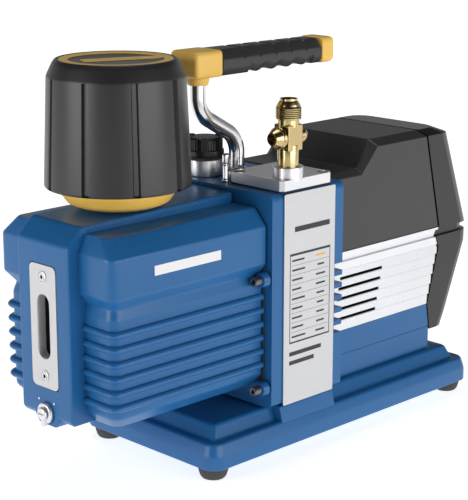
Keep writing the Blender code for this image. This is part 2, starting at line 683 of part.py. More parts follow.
# ---- exhaust filter ----
def make_filter():
    centre = (FILTER_X, 0, 0)
    bore = 0.008
    neck_low = TANK_TOP - 0.012
    radius = FILTER_NECK_RADIUS
    profile = [(bore, neck_low), (radius - 0.003, neck_low), (radius - 0.003, NECK_TOP), (bore, NECK_TOP)]
    turned("exhaust_neck", profile, "polished_aluminium", centre, segments=28, ring=True)
    seal_low = FILTER_SEAL_BOTTOM
    seal = washer("filter_seal", radius + 0.003, radius - 0.003 + 2 * GAP, seal_low, seal_low + FILTER_SEAL_THICKNESS,
                  "black_rubber", centre, segments=28)
    cup_low = seal_low + FILTER_SEAL_THICKNESS + GAP
    cup_top = FILTER_BODY_BOTTOM + 0.004
    hole = radius - 0.003 + 2 * GAP
    profile = [(hole, cup_low), (FILTER_CUP_LOW_RADIUS, cup_low), (FILTER_CUP_LOW_RADIUS + 0.006, cup_low + 0.0025)]
    profile += [(FILTER_CUP_TOP_RADIUS, FILTER_BODY_BOTTOM - 0.0005), (FILTER_CUP_TOP_RADIUS, cup_top)]
    profile += [(FILTER_CUP_TOP_RADIUS - 0.003, cup_top), (FILTER_CUP_LOW_RADIUS + 0.002, cup_low + 0.006)]
    profile += [(hole + 0.006, cup_low + 0.005), (hole, cup_low + 0.005)]
    cup = turned("filter_cup", profile, "yellow_plastic", centre, segments=32, ring=True)
    wall = FILTER_WALL
    inner_low = FILTER_CUP_TOP_RADIUS + GAP
    profile = [(inner_low, FILTER_BODY_BOTTOM), (FILTER_BODY_RADIUS - 0.001, FILTER_BODY_BOTTOM)]
    profile += [(FILTER_BODY_RADIUS, FILTER_BODY_BOTTOM + 0.001), (FILTER_SHOULDER_RADIUS, FILTER_SHOULDER_HEIGHT)]
    profile += [(FILTER_SHOULDER_RADIUS - 0.0008, FILTER_SHOULDER_HEIGHT + 0.002)]
    profile += [(FILTER_TOP_RADIUS, FILTER_TOP - 0.002), (FILTER_TOP_RADIUS - 0.002, FILTER_TOP - 0.0005)]
    profile += [(0.0005, FILTER_TOP), (0.0005, FILTER_TOP - wall)]
    profile += [(FILTER_TOP_RADIUS - wall - 0.002, FILTER_TOP - wall - 0.0015)]
    profile += [(FILTER_SHOULDER_RADIUS - wall - 0.001, FILTER_SHOULDER_HEIGHT)]
    profile += [(FILTER_BODY_RADIUS - wall, FILTER_BODY_BOTTOM + 0.008), (inner_low, FILTER_BODY_BOTTOM + 0.0055)]
    housing = turned("filter_housing", profile, "dark_plastic", centre, segments=40, ring=True)
    cap_shape = disc("filter_top_shape", 0.003, FILTER_TOP - wall + 0.0002, FILTER_TOP - 0.0002, "dark_plastic",
                     centre, segments=12)
    unite(housing, cap_shape)
    for step in range(FILTER_GROOVES):
        angle = math.radians(FILTER_GROOVE_ANGLE + 360 * step / FILTER_GROOVES)
        out, side = np.array((math.cos(angle), math.sin(angle))), np.array((-math.sin(angle), math.cos(angle)))
        rings = []
        for z, radius_here in ((FILTER_BODY_BOTTOM - 0.003, FILTER_BODY_RADIUS),
                               (FILTER_SHOULDER_HEIGHT - 0.001, FILTER_SHOULDER_RADIUS)):
            half, deep = FILTER_GROOVE_WIDTH / 2, radius_here - FILTER_GROOVE_DEPTH
            corners = [(deep, -half * 0.6), (radius_here + 0.003, -half), (radius_here + 0.003, half)]
            corners.append((deep, half * 0.6))
            rings.append([(FILTER_X + out[0] * a + side[0] * b, out[1] * a + side[1] * b, z) for a, b in corners])
        cut(housing, loft("filter_groove_shape", rings, "dark_plastic"))
    low, high = cup_low + 0.012, FILTER_SHOULDER_HEIGHT - 0.006
    element = washer("filter_element", ELEMENT_RADIUS, 0.020, low, high, "filter_media", centre, segments=28)
    lift = axis_empty("filter_lift_axis", centre)
    turn = axis_empty("filter_turn_axis", centre)
    carry(lift, seal)
    carry(turn, cup, housing, element)


# ---- intake ----
def make_intake():
    x0, x1 = BLOCK_FRONT, BLOCK_FRONT + BLOCK_LENGTH
    y0, y1 = BLOCK_NEAR, BLOCK_NEAR + BLOCK_WIDTH
    outline = rounded_rectangle(x0, x1, y0, y1, BLOCK_CORNER, 1)
    rings = [[(x, y, z) for x, y in outline] for z in (BLOCK_BOTTOM, BLOCK_TOP)]
    intake_block = loft("intake_block", rings, "polished_aluminium", (INTAKE_X, INTAKE_Y, BLOCK_BOTTOM))
    centre = (INTAKE_X, INTAKE_Y, 0)
    collar_top = BLOCK_TOP + COLLAR_HEIGHT
    unite(intake_block, turned("collar_shape", [(COLLAR_RADIUS, BLOCK_TOP - 0.003), (COLLAR_RADIUS, collar_top - 0.001),
                                                (COLLAR_RADIUS - 0.001, collar_top)], "polished_aluminium", centre))
    socket = disc("stem_socket_shape", FITTING_STEM_RADIUS + GAP, BLOCK_BOTTOM + 0.003, collar_top + 0.01,
                  "polished_aluminium", centre)
    passage = disc("block_passage_shape", INTAKE_BORE_RADIUS, BLOCK_BOTTOM - 0.01, BLOCK_BOTTOM + 0.01,
                   "polished_aluminium", centre, segments=20)
    cut(intake_block, socket, passage)
    inset = 0.0058
    for name, x, y in (("near", x1 - inset, y0 + inset), ("far", x0 + inset, y1 - inset)):
        radius = INTAKE_SCREW_RADIUS
        seat = BLOCK_TOP - 0.0050
        cut(intake_block, disc("counterbore_shape", radius + GAP, seat - GAP, BLOCK_TOP + 0.01,
                               "polished_aluminium", (x, y, 0), segments=20))
        profile = [(radius, seat), (radius, seat + 0.004), (radius - 0.0005, seat + 0.0045), (0.0022, seat + 0.0045)]
        profile += [(0.0022, seat + 0.002)]
        turned(f"intake_screw_{name}", profile, "screw_steel", (x, y, 0), segments=20)


def flare_profile(radius, start, reach, back):
    """The outside of a flare fitting's end from its root to its cone's tip."""
    neck = radius * 0.80
    cone = radius * 0.55
    profile = [(neck, back), (neck, start), (radius, start), (radius, reach - radius * 0.62)]
    profile += [(radius * 0.93, reach - radius * 0.55), (cone, reach)]
    return profile


def make_fitting():
    centre = np.array((INTAKE_X, INTAKE_Y, 0.0))
    body_top = FITTING_BODY_LOW + FITTING_BODY_HEIGHT
    stem_low = BLOCK_BOTTOM + 0.0035
    profile = [(FITTING_STEM_RADIUS, stem_low), (FITTING_STEM_RADIUS, body_top - 0.003)]
    profile += flare_profile(HALF_INCH_FLARE_RADIUS, body_top + 0.0034, FITTING_TOP, body_top - 0.002)
    fitting = turned("intake_fitting", profile, "brass", tuple(centre), segments=32)
    ahead = np.array((-1.0, 0.0, 0.0))
    sideways = np.array((0.0, -1.0, 0.0))
    upwards = np.array((0.0, 0.0, 1.0))
    half = FITTING_BODY_SIDE / 2
    corners = [(-half, -half), (half, -half), (half, half), (-half, half)]
    rings = [[tuple(centre + ahead * a + sideways * b + upwards * z) for a, b in corners]
             for z in (FITTING_BODY_LOW, body_top)]
    unite(fitting, loft("fitting_body_shape", rings, "brass"))
    middle = centre + upwards * (FITTING_BODY_LOW + FITTING_BODY_HEIGHT / 2)
    frames = {1: (sideways, upwards, ahead), -1: (-sideways, upwards, -ahead)}
    ports = ((1, THREE_EIGHTHS_FLARE_RADIUS, FRONT_PORT_REACH), (-1, QUARTER_FLARE_RADIUS, REAR_PORT_REACH))
    bores = []
    for sign, radius, reach in ports:
        outside = flare_profile(radius, half + 0.0025, reach, half - 0.003)
        unite(fitting, turned("side_port_shape", outside, "brass", tuple(middle), frame=frames[sign]))
        bore = radius * 0.46
        bores.append(disc("side_bore_shape", bore, -0.001, reach + 0.01, "brass", tuple(middle), segments=20,
                          frame=frames[sign]))
    through = disc("main_bore_shape", 0.0050, stem_low - 0.01, FITTING_TOP + 0.01, "brass", tuple(centre), segments=24)
    cut(fitting, through, *bores)


# ---- handle ----
def smooth_path(corners, radius, steps=5):
    """Straight runs joined by arcs of one radius, in the XZ plane."""
    path = [np.array(corners[0], float)]
    for before, corner, after in zip(corners, corners[1:], corners[2:]):
        before, corner, after = (np.array(point, float) for point in (before, corner, after))
        first = (before - corner) / np.linalg.norm(before - corner)
        second = (after - corner) / np.linalg.norm(after - corner)
        half_angle = math.acos(float(np.dot(first, second))) / 2
        setback = radius / math.tan(half_angle)
        bisector = (first + second) / np.linalg.norm(first + second)
        middle = corner + bisector * radius / math.sin(half_angle)
        start, end = corner + first * setback - middle, corner + second * setback - middle
        sweep = math.acos(float(np.clip(np.dot(start, end) / radius**2, -1, 1)))
        for step in range(steps + 1):
            share = step / steps
            blend = (math.sin((1 - share) * sweep) * start + math.sin(share * sweep) * end) / math.sin(sweep)
            path.append(middle + blend)
    path.append(np.array(corners[-1], float))
    return path


def make_handle():
    low = HOUSING_TOP + GAP
    top = GRIP_BOTTOM - CAP_SOCKET_DEPTH + 0.009
    corners = [(HANDLE_POST_X, low), (HANDLE_POST_X, HANDLE_BEND_LOW), (HANDLE_TOP_X, HANDLE_BEND_HIGH)]
    corners.append((HANDLE_TOP_X, top))
    path = smooth_path(corners, 0.020)
    rings = []
    for index, point in enumerate(path):
        ahead = path[min(index + 1, len(path) - 1)] - path[max(index - 1, 0)]
        ahead = ahead / np.linalg.norm(ahead)
        normal = np.array((-ahead[1], ahead[0]))
        ring = []
        for step in range(16):
            angle = 2 * math.pi * step / 16
            across, out = math.sin(angle) * HANDLE_TUBE_RADIUS, math.cos(angle) * HANDLE_TUBE_RADIUS
            ring.append((point[0] + normal[0] * out, across, point[1] + normal[1] * out))
        rings.append(ring)
    tube = loft("handle_tube", rings, "chrome", (HANDLE_POST_X, 0, low))
    radius, height = HANDLE_COLLAR_RADIUS, HANDLE_COLLAR_HEIGHT
    profile = [(radius, low), (radius, low + height - 0.002), (radius - 0.0025, low + height)]
    unite(tube, turned("handle_collar_shape", profile, "chrome", (HANDLE_POST_X, 0, 0)))
    base, chamfer = GRIP_BOTTOM, 0.004
    front, join = GRIP_FRONT, GRIP_FRONT + FRONT_CAP_LENGTH
    handle_end = join + GRIP_LENGTH + REAR_CAP_LENGTH

    def section(x, inset, ease):
        share = (x - front) / (handle_end - front)
        width = GRIP_FRONT_WIDTH + share * (GRIP_REAR_WIDTH - GRIP_FRONT_WIDTH)
        side, low_z, high_z = width / 2 - inset, base + inset, base + GRIP_HEIGHT - inset
        return rounded_rectangle(-side, side, low_z, high_z, ease, 3)

    def bar(name, stations, finish):
        rings = [[(x, y, z) for y, z in section(x, inset, ease)] for x, inset, ease in stations]
        return loft(name, rings, finish, (stations[0][0], 0, base))

    ease = [(front, 0.0025, 0.0035), (front + 0.0025, 0, chamfer)]
    cap = bar("handle_front_cap", ease + [(join - 0.001, 0, chamfer), (join, 0.0006, chamfer)], "yellow_plastic")
    collar_low = base - CAP_SOCKET_DEPTH
    profile = [(CAP_SOCKET_RADIUS - 0.0006, collar_low), (CAP_SOCKET_RADIUS, base - 0.001)]
    profile.append((CAP_SOCKET_RADIUS, base + 0.002))
    unite(cap, turned("cap_socket_shape", profile, "yellow_plastic", (HANDLE_TOP_X, 0, 0), segments=24))
    cut(cap, disc("cap_bore_shape", HANDLE_TUBE_RADIUS + GAP, collar_low - 0.01, top + GAP, "yellow_plastic",
                  (HANDLE_TOP_X, 0, 0), segments=24))
    grip_start, grip_end = join + GAP, join + GRIP_LENGTH
    stations = [(grip_start, 0.0006, chamfer), (grip_start + 0.0012, 0, chamfer)]
    stations += [(grip_end - 0.0012, 0.0, chamfer), (grip_end, 0.0008, chamfer)]
    bar("handle_grip", stations, "grip_plastic")
    rear_start, rear_end = grip_end + GAP, grip_end + REAR_CAP_LENGTH
    stations = [(rear_start, 0.0006, chamfer), (rear_start + 0.001, 0, chamfer), (rear_end - 0.003, 0, chamfer)]
    bar("handle_rear_cap", stations + [(rear_end, 0.003, 0.0035)], "yellow_plastic")


# ---- oil filler and gas ballast ----
def make_filler():
    centre = (FILLER_X, FILLER_Y, 0)
    low = HOUSING_TOP + GAP
    top = low + FILLER_NECK_HEIGHT
    radius, bore = FILLER_NECK_RADIUS, FILLER_BORE_RADIUS
    profile = [(bore, low), (radius, low), (radius, top), (radius - 0.0018, top), (radius - 0.0018, top + 0.006)]
    profile.append((bore, top + 0.006))
    turned("filler_neck", profile, "polished_aluminium", centre, segments=32, ring=True)
    seal_low = top + GAP
    inner = radius - 0.0018 + GAP
    seal = washer("filler_seal", radius, inner, seal_low, seal_low + FILLER_SEAL_THICKNESS, "black_rubber", centre)
    cap_low = seal_low + FILLER_SEAL_THICKNESS + GAP
    cap_top = cap_low + FILLER_CAP_HEIGHT
    rings = []
    lobed = FILLER_CAP_RADIUS - 0.0009
    for z, size, depth in ((cap_low, FILLER_CAP_RADIUS, 0), (cap_low + 0.0065, FILLER_CAP_RADIUS, 0),
                           (cap_low + 0.0068, lobed, 0.0012), (cap_top - 0.003, lobed, 0.0012),
                           (cap_top, lobed - 0.003, 0.001)):
        ring = []
        for step in range(36):
            angle = 2 * math.pi * step / 36
            wave = max(0.0, -math.cos(FILLER_CAP_LOBES * angle)) ** 0.5
            reach = size - depth * wave
            ring.append((FILLER_X + reach * math.cos(angle), FILLER_Y + reach * math.sin(angle), z))
        rings.append(ring)
    cap = loft("filler_cap", rings, "black_plastic", centre)
    cut(cap, disc("cap_thread_shape", inner + GAP, cap_low - 0.01, top + 0.006 + 2 * GAP, "black_plastic", centre))
    carry(axis_empty("filler_lift_axis", centre), seal)
    carry(axis_empty("filler_turn_axis", centre), cap)


def make_gas_ballast():
    low, top = HOUSING_TOP + GAP, HOUSING_TOP + BALLAST_HEIGHT
    radius = BALLAST_RADIUS
    middle = low + BALLAST_HEIGHT * 0.62
    profile = [(radius + 0.0006, low), (radius + 0.0006, low + 0.002), (radius, low + 0.0025), (radius, middle)]
    profile += [(radius + 0.0004, middle + 0.0005), (radius + 0.0004, top - 0.001), (radius - 0.0004, top)]
    knob = turned("gas_ballast_valve", profile, "polished_aluminium", (BALLAST_X, BALLAST_Y, 0), segments=20)
    carry(axis_empty("gas_ballast_axis", (BALLAST_X, BALLAST_Y, 0)), knob)


# ---- vane pump stages inside the oil casing ----
def make_stages():
    bore_centre = (0, 0, SHAFT_HEIGHT - BORE_DROP)
    shaft_line = (0, 0, SHAFT_HEIGHT)
    high_rear = HOUSING_FRONT - GAP

    def stator(name, start, end, bore_start, finish="cast_iron"):
        flat = STATOR_RADIUS * 0.96
        outline = []
        for step in range(40):
            angle = 2 * math.pi * step / 40
            y, z = STATOR_RADIUS * math.cos(angle), STATOR_RADIUS * math.sin(angle)
            outline.append((y, SHAFT_HEIGHT + min(z, flat)))
        made = extrude(name, outline, "x", start, end, finish, (start, 0, SHAFT_HEIGHT))
        cut(made, disc("stage_bore_shape", BORE_RADIUS, bore_start, end + 0.01, finish, bore_centre, "x", 36))
        return made

    stator("high_stage_stator", HIGH_STATOR_FRONT, high_rear, HIGH_STATOR_FRONT - 0.01)
    low_rear = CENTRE_PLATE_FRONT - GAP
    low_stator = stator("low_stage_stator", LOW_STATOR_FRONT, low_rear, LOW_BORE_FRONT)
    journal_gap = SHAFT_RADIUS + RUNNING_GAP
    cut(low_stator, disc("journal_bore_shape", journal_gap, LOW_STATOR_FRONT + 0.002, LOW_BORE_FRONT + 0.005,
                         "cast_iron", shaft_line, "x", 32))
    plate_rear = CENTRE_PLATE_FRONT + CENTRE_PLATE_THICKNESS
    washer("centre_plate", STATOR_RADIUS * 0.96, journal_gap, CENTRE_PLATE_FRONT, plate_rear, "cast_iron",
           shaft_line, "x", 40)
    high_front, high_back = HIGH_STATOR_FRONT + GAP, high_rear - GAP
    low_front, low_back = LOW_BORE_FRONT + GAP, low_rear - GAP
    shaft_end = HOUSING_FRONT + HOUSING_WALL + 0.016
    profile = [(SHAFT_RADIUS, LOW_STATOR_FRONT + 0.0023), (SHAFT_RADIUS, low_front), (ROTOR_RADIUS, low_front)]
    profile += [(ROTOR_RADIUS, low_back), (SHAFT_RADIUS, low_back), (SHAFT_RADIUS, high_front)]
    profile += [(ROTOR_RADIUS, high_front), (ROTOR_RADIUS, high_back), (SHAFT_RADIUS, high_back)]
    profile.append((SHAFT_RADIUS, shaft_end))
    rotor = turned("pump_rotor", profile, "ground_steel", shaft_line, "x", 32)
    axis = axis_empty("shaft_axis", shaft_line)
    carry(axis, rotor)
    bottom = ROTOR_RADIUS - VANE_DEPTH - 0.0008
    half = VANE_THICKNESS / 2
    for stage, start, end in (("high", high_front, high_back), ("low", low_front, low_back)):
        for side, sign in (("near", -1), ("far", 1)):
            ys = sorted((sign * bottom, sign * (ROTOR_RADIUS + 0.005)))
            slot_half = half + 0.00015
            slot = block("vane_slot_shape", (start - 0.0001, ys[0], SHAFT_HEIGHT - slot_half),
                         (end + 0.0001, ys[1], SHAFT_HEIGHT + slot_half), "ground_steel")
            cut(rotor, slot)
            ys = sorted((sign * (bottom + 0.0004), sign * (ROTOR_RADIUS - 0.0004)))
            vane = block(f"{stage}_stage_vane_{side}", (start + 0.0003, ys[0], SHAFT_HEIGHT - half),
                         (end - 0.0003, ys[1], SHAFT_HEIGHT + half), "vane_composite",
                         (start, 0, SHAFT_HEIGHT))
            carry(axis_empty(f"{stage}_vane_{side}_axis", (start, 0, SHAFT_HEIGHT)), vane)
    seat = SHAFT_HEIGHT + STATOR_RADIUS * 0.96 + GAP
    x = (LOW_STATOR_FRONT + low_rear) / 2
    valve = disc("exhaust_valve_disc", EXHAUST_DISC_RADIUS, 0, EXHAUST_DISC_THICKNESS, "ground_steel", (x, 0, seat),
                 segments=24)
    carry(axis_empty("exhaust_valve_axis", (x, 0, seat)), valve)


# ---- motor ----
def make_motor_inside():
    shaft_line = (0, 0, SHAFT_HEIGHT)
    pump_shaft_end = HOUSING_FRONT + HOUSING_WALL + 0.016
    coupling_front = HOUSING_FRONT + HOUSING_WALL + 0.003
    coupling_rear = coupling_front + COUPLING_LENGTH
    bore = SHAFT_RADIUS + RUNNING_GAP
    coupling = washer("shaft_coupling", COUPLING_RADIUS, bore, coupling_front, coupling_rear, "cast_iron",
                      shaft_line, "x", 32)
    core_front, core_rear = BARREL_FRONT + 0.018, BARREL_REAR - 0.016
    fan_front = BARREL_REAR + SHIELD_THICKNESS + 0.004
    fan_rear = fan_front + 0.012
    shaft_rear = fan_rear + 0.002
    profile = [(SHAFT_RADIUS, pump_shaft_end + 0.002), (SHAFT_RADIUS, core_front + 0.004)]
    profile += [(MOTOR_ROTOR_RADIUS, core_front + 0.004), (MOTOR_ROTOR_RADIUS, core_rear - 0.004)]
    profile += [(SHAFT_RADIUS, core_rear - 0.004), (SHAFT_RADIUS, shaft_rear)]
    rotor = turned("motor_rotor", profile, "stator_steel", shaft_line, "x", 32)
    inner = BARREL_RADIUS - BARREL_WALL - GAP
    washer("motor_stator", inner, STATOR_BORE_RADIUS, core_front, core_rear, "stator_steel", shaft_line, "x", 40)
    front = BARREL_FRONT + GAP
    washer("bearing_front", BEARING_RADIUS, bore, front, front + BEARING_WIDTH, "ground_steel", shaft_line, "x", 32)
    rear = BARREL_REAR - BEARING_WIDTH + SHIELD_THICKNESS - 0.002
    washer("bearing_rear", BEARING_RADIUS, bore, rear, rear + BEARING_WIDTH, "ground_steel", shaft_line, "x", 32)
    hub = 0.014
    fan = washer("cooling_fan", hub, bore, fan_front, fan_rear, "black_plastic", shaft_line, "x", 28)
    for step in range(FAN_BLADES):
        angle = 2 * math.pi * step / FAN_BLADES
        out, side = np.array((math.cos(angle), math.sin(angle))), np.array((-math.sin(angle), math.cos(angle)))
        corners = [(hub - 0.002, -0.0007), (FAN_RADIUS, -0.0007), (FAN_RADIUS, 0.0007), (hub - 0.002, 0.0007)]
        rings = []
        for x, lean in ((fan_front + 0.001, -0.002), (fan_rear - 0.001, 0.002)):
            rings.append([(x, out[0] * a + side[0] * (b + lean), SHAFT_HEIGHT + out[1] * a + side[1] * (b + lean))
                          for a, b in corners])
        unite(fan, loft("fan_blade_shape", rings, "black_plastic"))
    axis = axis_empty("motor_axis", shaft_line)
    carry(axis, coupling, rotor, fan)
    shield_front, shield_rear = BARREL_REAR + GAP, BARREL_REAR + SHIELD_THICKNESS
    shield = washer("motor_end_shield", BARREL_RADIUS, BEARING_RADIUS + GAP, shield_front, shield_rear, "cast_iron",
                    shaft_line, "x", 40)
    low = BARREL_REAR - BEARING_WIDTH + SHIELD_THICKNESS - 0.002
    profile = [(BEARING_RADIUS + GAP, low), (BEARING_RADIUS + 0.003, low), (BEARING_RADIUS + 0.003, shield_rear - 0.001)]
    profile.append((BEARING_RADIUS + GAP, shield_rear - 0.001))
    unite(shield, turned("bearing_boss_shape", profile, "cast_iron", shaft_line, "x", 40, ring=True))
    base = SHAFT_HEIGHT + BARREL_RADIUS + CAPACITOR_RADIUS + 0.002
    start = SLOPE_END + 0.006
    disc("run_capacitor", CAPACITOR_RADIUS, start, start + CAPACITOR_LENGTH, "black_plastic", (0, 0, base), "x", 28)


def make_motor_frame():
    half, skin = MOTOR_HALF_WIDTH, MOTOR_SKIN
    low, top = MOTOR_BOTTOM, FRAME_SIDE_HEIGHT
    outline = [(-half, low), (half, low), (half, top), (half - skin, top), (half - skin, low + skin)]
    outline += [(-half + skin, low + skin), (-half + skin, top), (-half, top)]
    frame = extrude("motor_frame", outline, "x", MOTOR_FRONT, MOTOR_REAR + 0.005, "blue_enamel", (MOTOR_FRONT, 0, low))
    web = block("cradle_shape", (BARREL_FRONT + 0.004, -0.022, low + skin - 0.001), (BARREL_REAR - 0.004, 0.022, 0.086),
                "blue_enamel")
    shaft_line = (0, 0, SHAFT_HEIGHT)
    barrel = disc("barrel_shape", BARREL_RADIUS, BARREL_FRONT, BARREL_REAR, "blue_enamel", shaft_line, "x", 40)
    wall = block("rear_wall_shape", (MOTOR_REAR - 0.004, -half + 0.001, low + 0.001),
                 (MOTOR_REAR + 0.004, half - 0.001, REAR_BOTTOM - 0.0005), "blue_enamel")
    unite(frame, web, barrel, wall)
    inside = disc("barrel_bore_shape", BARREL_RADIUS - BARREL_WALL, BARREL_FRONT + BEARING_WIDTH + 0.002,
                  BARREL_REAR + 0.01, "blue_enamel", shaft_line, "x", 40)
    pocket = disc("bearing_pocket_shape", BEARING_RADIUS + GAP, BARREL_FRONT, BARREL_FRONT + BEARING_WIDTH + 0.01,
                  "blue_enamel", shaft_line, "x", 32)
    mouth = disc("shaft_mouth_shape", 0.013, BARREL_FRONT - 0.01, BARREL_FRONT + 0.01, "blue_enamel", shaft_line, "x", 24)
    cut(frame, inside, pocket, mouth, seam_cutter("frame_seam_shape", -SEAM, MOTOR_REAR + 0.06, "blue_enamel"))


def seam_line():
    """The kinked seam between the motor's covers and the rear cover: (height, place behind the housing)."""
    return [(BASE_BOTTOM, MOTOR_LENGTH + SEAM), (REAR_BOTTOM, MOTOR_LENGTH + SEAM), (FRAME_SIDE_HEIGHT, 0.1256),
            (BAND_LOW, 0.1385), (GROOVE_LOW, 0.1345), (COVER_BOTTOM, 0.1387), (COVER_TOP + 0.02, 0.1140)]


def seam_x(z):
    heights, places = zip(*seam_line())
    return HOUSING_REAR + float(np.interp(z, heights, places))


def seam_cutter(name, offset, end, finish):
    """Everything between the seam, moved by the offset, and the end, over the motor's whole height and width."""
    outline = [(z, HOUSING_REAR + place + offset) for z, place in seam_line()]
    outline += [(outline[-1][0], end), (outline[0][0], end)]
    width = MOTOR_HALF_WIDTH + 0.01
    return extrude(name, outline, "y", -width, width, finish)


def louvre_section():
    """(outward depth, height) of a side louvre from its foot to its trim, with lapped ribs."""
    foot = FRAME_SIDE_HEIGHT + GAP
    half = MOTOR_HALF_WIDTH
    section = []
    pitch = LOUVRE_RIB_PITCH
    for rib in range(LOUVRE_RIBS):
        low = foot + rib * pitch
        section += [(half, low), (half - LOUVRE_RIB_DEPTH, low + pitch - 0.0004)]
    top = foot + LOUVRE_RIBS * pitch
    section += [(half + 0.0004, top), (half + 0.0004, 0.1352), (half - 0.0018, 0.1358), (half - 0.0018, 0.1408)]
    section += [(half + 0.0004, 0.1414), (half + 0.0004, COVER_BOTTOM - GAP)]
    return section


def make_louvres():
    inner = MOTOR_HALF_WIDTH - MOTOR_SKIN
    for name, side in (("near", -1), ("far", 1)):
        section = louvre_section()
        outline = section + [(inner, section[-1][1]), (inner, section[0][1])]
        rings = [[(x, side * y, z) for y, z in outline] for x in (MOTOR_FRONT, MOTOR_REAR + 0.015)]
        louvre = loft(f"side_louvre_{name}", rings, "silver_panel", (MOTOR_FRONT, side * inner, COVER_BOTTOM))
        cut(louvre, seam_cutter("louvre_seam_shape", -SEAM, MOTOR_REAR + 0.06, "silver_panel"))
        for slot in range(SLOT_COUNT):
            z = FRAME_SIDE_HEIGHT + GAP + (LOUVRE_RIBS - 1 - slot) * LOUVRE_RIB_PITCH + 0.0014
            start = MOTOR_FRONT + SLOT_START - slot * SLOT_SHIFT
            ys = sorted((side * (MOTOR_HALF_WIDTH + 0.01), side * (inner - 0.01)))
            cut(louvre, block("slot_shape", (start, ys[0], z - SLOT_HEIGHT / 2),
                              (start + SLOT_LENGTH, ys[1], z + SLOT_HEIGHT / 2), "silver_panel"))


def cover_outline(side_height, top, top_half, skin):
    """An inverted channel with chamfered shoulders: outside then inside, as (y, z)."""
    half = MOTOR_HALF_WIDTH
    outer = [(-half, COVER_BOTTOM), (-half, side_height), (-top_half, top), (top_half, top), (half, side_height)]
    outer.append((half, COVER_BOTTOM))
    inner = [(half - skin, COVER_BOTTOM), (half - skin, side_height - skin * 0.7), (top_half - 0.001, top - skin)]
    inner += [(-top_half + 0.001, top - skin), (-half + skin, side_height - skin * 0.7), (-half + skin, COVER_BOTTOM)]
    return outer + inner


def make_covers():
    shelf = cover_outline(SHELF_SIDE_HEIGHT, SHELF_TOP, SHELF_HALF_WIDTH, COVER_SKIN)
    high = cover_outline(COVER_SIDE_HEIGHT, COVER_TOP, COVER_TOP_HALF_WIDTH, COVER_SKIN)
    rings = [[(x, y, z) for y, z in shelf] for x in (MOTOR_FRONT, SLOPE_START)]
    rings += [[(x, y, z) for y, z in high] for x in (SLOPE_END, MOTOR_REAR + 0.015)]
    cover = loft("motor_cover", rings, "dark_plastic", (MOTOR_FRONT, 0, COVER_BOTTOM))
    cut(cover, seam_cutter("cover_seam_shape", -SEAM, MOTOR_REAR + 0.06, "dark_plastic"))
    rear = rear_shell("rear_cover", 0, "black_plastic")
    cut(rear, rear_shell("rear_hollow_shape", COVER_SKIN, "black_plastic"))
    cut(rear, seam_cutter("rear_seam_shape", SEAM, MOTOR_REAR - 0.06, "black_plastic"))
    for vent in range(REAR_VENTS):
        z = REAR_VENT_LOW + vent * REAR_VENT_PITCH
        cut(rear, block("rear_vent_shape", (MOTOR_REAR + 0.020, -REAR_VENT_WIDTH / 2, z),
                        (MOTOR_REAR + 0.070, REAR_VENT_WIDTH / 2, z + REAR_VENT_HEIGHT), "black_plastic"))
    side = MOTOR_HALF_WIDTH
    x = seam_x(SWITCH_HEIGHT) + 0.0125
    wide, tall = SWITCH_WIDTH / 2 + SWITCH_CLEARANCE, SWITCH_TALL / 2 + SWITCH_CLEARANCE
    cut(rear, block("switch_opening_shape", (x - wide, side - 0.01, SWITCH_HEIGHT - tall),
                    (x + wide, side + 0.01, SWITCH_HEIGHT + tall), "black_plastic"))
    wide, tall = INLET_WIDTH / 2 + GAP, INLET_TALL / 2 + GAP
    inlet_x = seam_x(INLET_HEIGHT) + 0.0155
    cut(rear, block("inlet_opening_shape", (inlet_x - wide, side - 0.01, INLET_HEIGHT - tall),
                    (inlet_x + wide, side + 0.01, INLET_HEIGHT + tall), "black_plastic"))
    make_switch(x, side)
    make_inlet(inlet_x, side)


def rear_shell(name, inset, finish):
    """The rear cover's outline in plan at each height: (height, reach beyond the depth, narrowing)."""
    levels = [(REAR_BOTTOM, 0.0062, 0.0), (REAR_BOTTOM + 0.0124, 0.0123, 0.0), (BAND_LOW, 0.0358, 0.0)]
    levels += [(GROOVE_LOW, 0.0358, 0.0), (GROOVE_LOW + 0.0002, 0.0358, GROOVE_DEPTH)]
    levels += [(GROOVE_HIGH - 0.0002, 0.0358, GROOVE_DEPTH), (GROOVE_HIGH, 0.0358, 0.0)]
    levels += [(COVER_SIDE_HEIGHT, 0.0061, 0.0), (COVER_TOP, 0.0080, MOTOR_HALF_WIDTH - COVER_TOP_HALF_WIDTH)]
    front = HOUSING_REAR + 0.105 - (0.02 if inset else 0)
    radius = REAR_CORNER_RADIUS - inset
    rings = []
    for z, reach, narrow in levels:
        z_here = min(max(z, REAR_BOTTOM + inset), COVER_TOP - inset)
        back = HOUSING_REAR + REAR_DEPTH + reach - narrow - inset
        half = MOTOR_HALF_WIDTH - narrow - inset
        ring = [(front, -half)]
        for y, first in ((-half + radius, -90), (half - radius, 0)):
            for step in range(5):
                angle = math.radians(first + 22.5 * step)
                ring.append((back - radius + radius * math.cos(angle), y + radius * math.sin(angle)))
        ring.append((front, half))
        rings.append([(x, y, z_here) for x, y in ring])
    return loft(name, rings, finish, (MOTOR_REAR, 0, REAR_BOTTOM))


def make_switch(x, side):
    wide, tall = SWITCH_WIDTH / 2, SWITCH_TALL / 2
    pivot = (x, side - 0.002, SWITCH_HEIGHT)
    outline = [(SWITCH_HEIGHT - tall, side - 0.0045), (SWITCH_HEIGHT + tall, side - 0.0045)]
    outline += [(SWITCH_HEIGHT + tall, side + 0.0016), (SWITCH_HEIGHT, side + 0.0004)]
    outline.append((SWITCH_HEIGHT - tall, side + 0.0016))
    rings = [[(place, y, z) for z, y in outline] for place in (x - wide, x + wide)]
    rocker = loft("power_switch", rings, "black_plastic", pivot)
    axis = axis_empty("power_switch_axis", pivot)
    carry(axis, rocker)
    axis.rotation_euler.x = -math.radians(SWITCH_THROW / 2)


